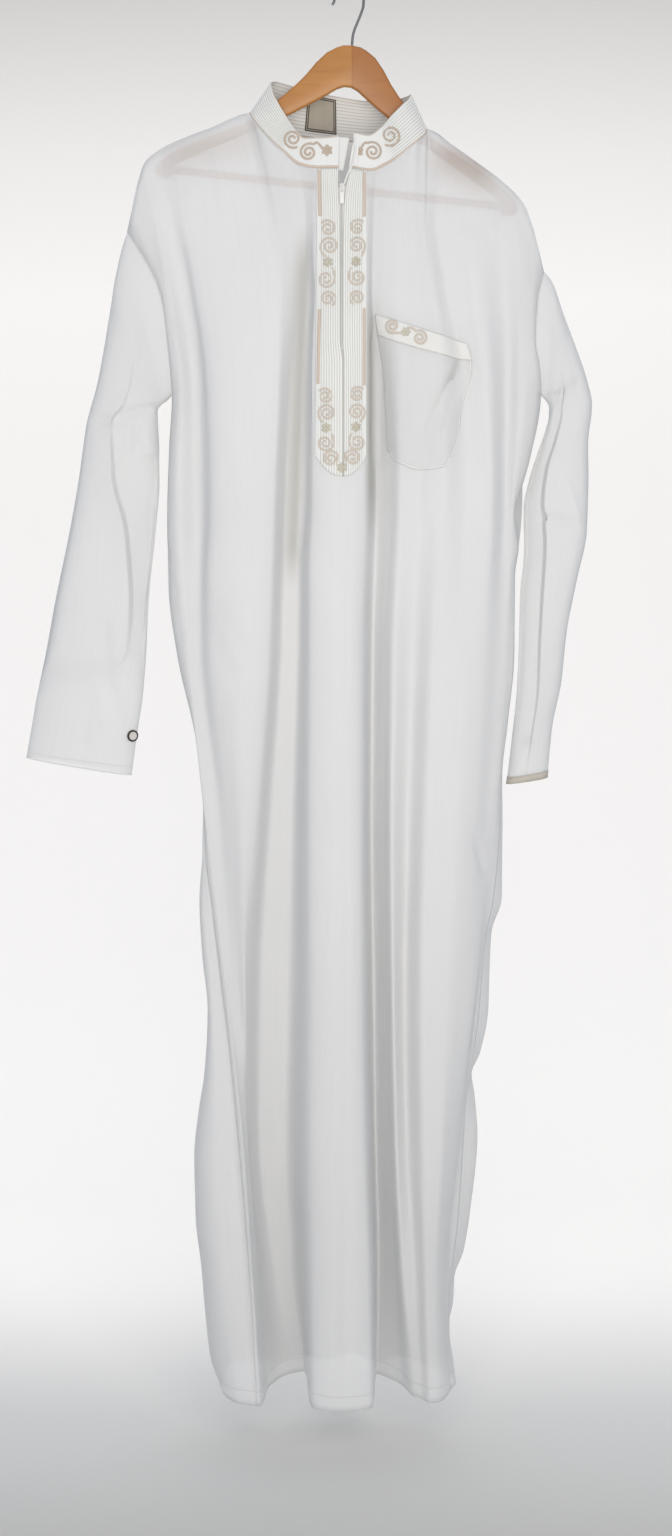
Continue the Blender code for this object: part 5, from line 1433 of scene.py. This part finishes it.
def make_hanger(wood, metal):
    """The varnished arms with their edges rounded, the trouser bar and the wire hook."""
    half = [*ARM_TOP, *ARM_TIP, *ARM_LOW]
    outline = np.array([hanger_place(out, up) for out, up in half + [(-out, up) for out, up in reversed(half[1:])]])
    board = plate("hanger_arms", [tuple(spot) for spot in outline], (), HANGER_THICK, HANGER_ROUND, wood, (0, 0, 0))
    board.modifiers["rim"].segments = 5
    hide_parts("hanger_body")
    x, z = hanger_place(0, BAR_HEIGHT)
    bpy.ops.object.select_all(action="DESELECT")
    bpy.ops.mesh.primitive_cylinder_add(
        vertices=32, radius=BAR_RADIUS * MM, depth=2 * BAR_HALF * MM,
        location=(x * MM, 0, z * MM), rotation=(0, math.pi / 2 + HANGER_TILT, 0),
    )
    bar = bpy.context.object
    bar.name = "hanger_dowel"
    bpy.ops.object.transform_apply(location=True, rotation=True, scale=False)
    ends = bar.modifiers.new("ends", "BEVEL")
    ends.width = 0.8 * MM
    ends.segments = 3
    ends.limit_method = "ANGLE"
    bpy.ops.object.shade_smooth_by_angle(angle=math.radians(50))
    bar.data.materials.append(wood)
    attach(bar, BODY)
    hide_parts("hanger_bar")
    shank = even_run([*HOOK_SHANK, (HOOK_RADIUS, WIRE / 2 - HOOK_RADIUS)], 2.0).tolist()
    for step in range(1, 33):
        turn = math.pi * step / 32
        shank.append([HOOK_RADIUS * math.cos(turn), WIRE / 2 - HOOK_RADIUS * (1 - math.sin(turn))])
    shank += HOOK_END
    curve = bpy.data.curves.new("hook_wire", "CURVE")
    curve.dimensions = "3D"
    curve.bevel_depth = WIRE / 2 * MM
    curve.bevel_resolution = 5
    curve.use_fill_caps = True
    line = curve.splines.new("POLY")
    line.points.add(len(shank) - 1)
    for point, (x, z) in zip(line.points, shank):
        point.co = (x * MM, 0, z * MM, 1)
    line.use_smooth = True
    hook = bpy.data.objects.new("hook_wire", curve)
    bpy.context.scene.collection.objects.link(hook)
    curve.materials.append(metal)
    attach(hook, BODY)
    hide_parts("hanger_hook")


def make_stage():
    """A pale paper floor that curves up into the wall behind."""
    profile = [(-3.0, FLOOR), (BACK_EDGE, FLOOR)]
    for step in range(1, 17):
        turn = math.pi / 2 * step / 16
        profile.append((BACK_EDGE + SWEEP * math.sin(turn), FLOOR + SWEEP * (1 - math.cos(turn))))
    profile.append((BACK_EDGE + SWEEP, 4.0))
    points = [(side * STAGE_HALF, y, z) for y, z in profile for side in (-1, 1)]
    faces = [(2 * i, 2 * i + 1, 2 * i + 3, 2 * i + 2) for i in range(len(profile) - 1)]
    mesh = bpy.data.meshes.new("studio_floor")
    mesh.from_pydata(points, [], faces)
    mesh.shade_smooth()
    floor = bpy.data.objects.new("studio_floor", mesh)
    bpy.context.scene.collection.objects.link(floor)
    paper, tree, shader = new_material("studio_paper_painted_light", 0.9)
    place = add_node(tree, "ShaderNodeTexCoord").outputs["Object"]
    parts = add_node(tree, "ShaderNodeSeparateXYZ", {"Vector": place})
    # Painted light falloff: the wall's tone darkens towards its top
    ramp = add_node(tree, "ShaderNodeValToRGB")
    share = math_node(tree, "DIVIDE", math_node(tree, "SUBTRACT", parts.outputs["Z"], FLOOR), WALL_SPAN)
    tree.links.new(share, ramp.inputs["Fac"])
    stops = ramp.color_ramp.elements
    while len(stops) < len(WALL_PAINTED_FALLOFF):
        stops.new(0.5)
    for stop, (height, tone) in zip(stops, WALL_PAINTED_FALLOFF):
        stop.position = (height - FLOOR) / WALL_SPAN
        stop.color = linear(tone)
    # Painted shadow on the floor near the front
    painted_floor_shadow = math_node(tree, "SUBTRACT", FLOOR_SHADOW_FROM, parts.outputs["Y"])
    painted_floor_shadow = add_node(tree, "ShaderNodeClamp", {"Value": math_node(tree, "DIVIDE", painted_floor_shadow, FLOOR_SHADOW_OVER)}).outputs[0]
    painted_floor_shadow = math_node(tree, "POWER", painted_floor_shadow, FLOOR_SHADOW_POWER)
    colour = mixed(tree, painted_floor_shadow, ramp.outputs["Color"], linear(FLOOR_SHADOW_TONE))
    tree.links.new(colour, shader.inputs["Base Color"])
    floor.data.materials.append(paper)


def add_light(name, place, target, size, power, colour):
    light = bpy.data.lights.new(name, "AREA")
    light.shape = "RECTANGLE"
    light.size, light.size_y = size
    light.energy = power
    light.color = linear(colour)[:3]
    lamp = bpy.data.objects.new(name, light)
    lamp.location = place
    lamp.rotation_euler = (Vector(target) - Vector(place)).to_track_quat("-Z", "Y").to_euler()
    lamp.visible_camera = False
    bpy.context.scene.collection.objects.link(lamp)


def make_lights_and_camera():
    world = bpy.data.worlds.new("studio")
    world.use_nodes = True
    world.node_tree.nodes["Background"].inputs["Color"].default_value = linear(WORLD_COLOUR)
    world.node_tree.nodes["Background"].inputs["Strength"].default_value = WORLD_STRENGTH
    bpy.context.scene.world = world
    for row in LIGHTS:
        add_light(*row)
    bpy.context.scene.view_settings.view_transform = "Standard"
    data = bpy.data.cameras.new("camera")
    data.sensor_fit = "VERTICAL"
    data.sensor_height = 36.0
    data.lens = 36.0 * FOCAL / FRAME_HEIGHT
    camera = bpy.data.objects.new("camera", data)
    camera.location = CAMERA
    camera.rotation_euler = (math.radians(90 - PITCH), 0, 0)
    bpy.context.scene.collection.objects.link(camera)
    bpy.context.scene.camera = camera


cloth = cloth_material("sheer_white_polyester", "F7F7F6", "F0F1F2", CLOTH_ALPHA, hemmed=True)
front_cloth = cloth_material(
    "sheer_white_polyester_front", "F7F7F6", "F0F1F2", CLOTH_ALPHA, hemmed=True, painted_shades=FRONT_PAINTED_SHADE)
pocket_cloth = cloth_material("white_polyester", "F7F7F6", "F0F1F2", CLOTH_ALPHA, painted_shades=POCKET_PAINTED_SHADE)
quilt = cloth_material("quilted_white_polyester", "F3F4F2", "EBECE8", 0.95, ribbed=True)
band_cloth = cloth_material("faced_white_polyester", "EFEFEC", "E8E8E4", 0.93)
# The cuff facing's tan-grey is painted shade of the doubled cloth, which lets less light through
shaded_facing_cloth = cloth_material("cuff_facing_painted_shade", "CFC9BE", "C2BBAF", 0.9)
tape_cloth = cloth_material("woven_zip_tape", "F0F0EE", "E8E8E5", 1.0)
beige_braid = thread_material("beige_braid", "E2D9CE", "CABFB1")
rose_braid = thread_material("rose_beige_braid", "D6C7B7", "B8A694")
tan_braid = thread_material("tan_braid", "E2D4C5", "CCB9A6")
olive_thread = thread_material("olive_beige_thread", "DAD7C8", "C6C1AE")
white_thread = thread_material("white_thread", "FAFAF8", "E6E6E2")
teeth_plastic = worn_material("pale_grey_zip_teeth", "DEE0DA", "C8CAC4", 0.45)
enamel = worn_material("white_enamelled_metal", "E6E6E4", "D8D8D4", 0.3)
dark_plastic = worn_material("dark_button_rim", "332E2A", "1E1A18", 0.35)
pale_plastic = worn_material("pale_button_face", "D8D6D0", "C4C2BA", 0.35)
steel = worn_material("steel_wire", "8C8C8C", "707070", 0.28, 1.0, 60.0)
wood = wood_material()

make_stage()
grids, normals, body_pieces = make_body(cloth, front_cloth)
front_tree = surface_tree(grids["front_panel"])
placket_grid, placket = make_placket(front_tree, quilt)
placket_tree = surface_tree(placket_grid)
tapes, coil, tape_fold = make_zip(front_tree, tape_cloth, white_thread, teeth_plastic, enamel)
(pocket_grid, pocket_normals, pocket), (band_grid, band_normals, band) = make_pocket(front_tree, pocket_cloth, band_cloth)
collar_grid, collar_normals, collar = make_collar(quilt)
collar_tree = surface_tree(collar_grid)
label = make_label()

on_placket = ornament(placket_tree, "placket", beige_braid, olive_thread)
on_placket.append(braid("placket_border", [laid(placket_tree, path) for path in PLACKET_LINES], BORDER_WIDTH, BORDER_HEIGHT,
                        tan_braid))
on_collar = ornament(collar_tree, "collar", rose_braid, rose_braid)
foot = [(collar_grid[-1], collar_normals[-1])]
rim = [(collar_grid[0], collar_normals[0])]
on_collar.append(braid("collar_foot_braid", foot, FOOT_BRAID, BRAID_HEIGHT, tan_braid))
on_collar.append(braid("collar_rim_cord", rim, RIM_CORD, 0.5, beige_braid))
on_band = ornament(surface_tree(band_grid), "pocket", beige_braid, olive_thread)
rim = np.concatenate([pocket_grid[:, -2], pocket_grid[-2, -3:1:-1]])
rim_normals = np.concatenate([pocket_normals[:, -2], pocket_normals[-2, -3:1:-1]])
on_pocket = [braid("pocket_edge_cord", [(rim, rim_normals)], RIM_CORD, 0.5, white_thread)]

# The left cuff's turned-up facing: a real layer, with its darker tone as painted shade of the doubled cloth
cuff = grids["sleeve_left"][-3:]
lifted = FACING_LIFT * normals["sleeve_left"][-3:]
cuff_facing = shell("cuff_facing_left", cuff + lifted, lifted, 0.5, shaded_facing_cloth, closed=True)

cuffs = {name: surface_tree(grids[name], closed=True) for name in ("sleeve_right", "sleeve_left")}
for name, cuff, start, way in BUTTONS:
    make_button(name, name, cuffs[cuff], start, way, dark_plastic, pale_plastic)
make_hanger(wood, steel)
make_lights_and_camera()
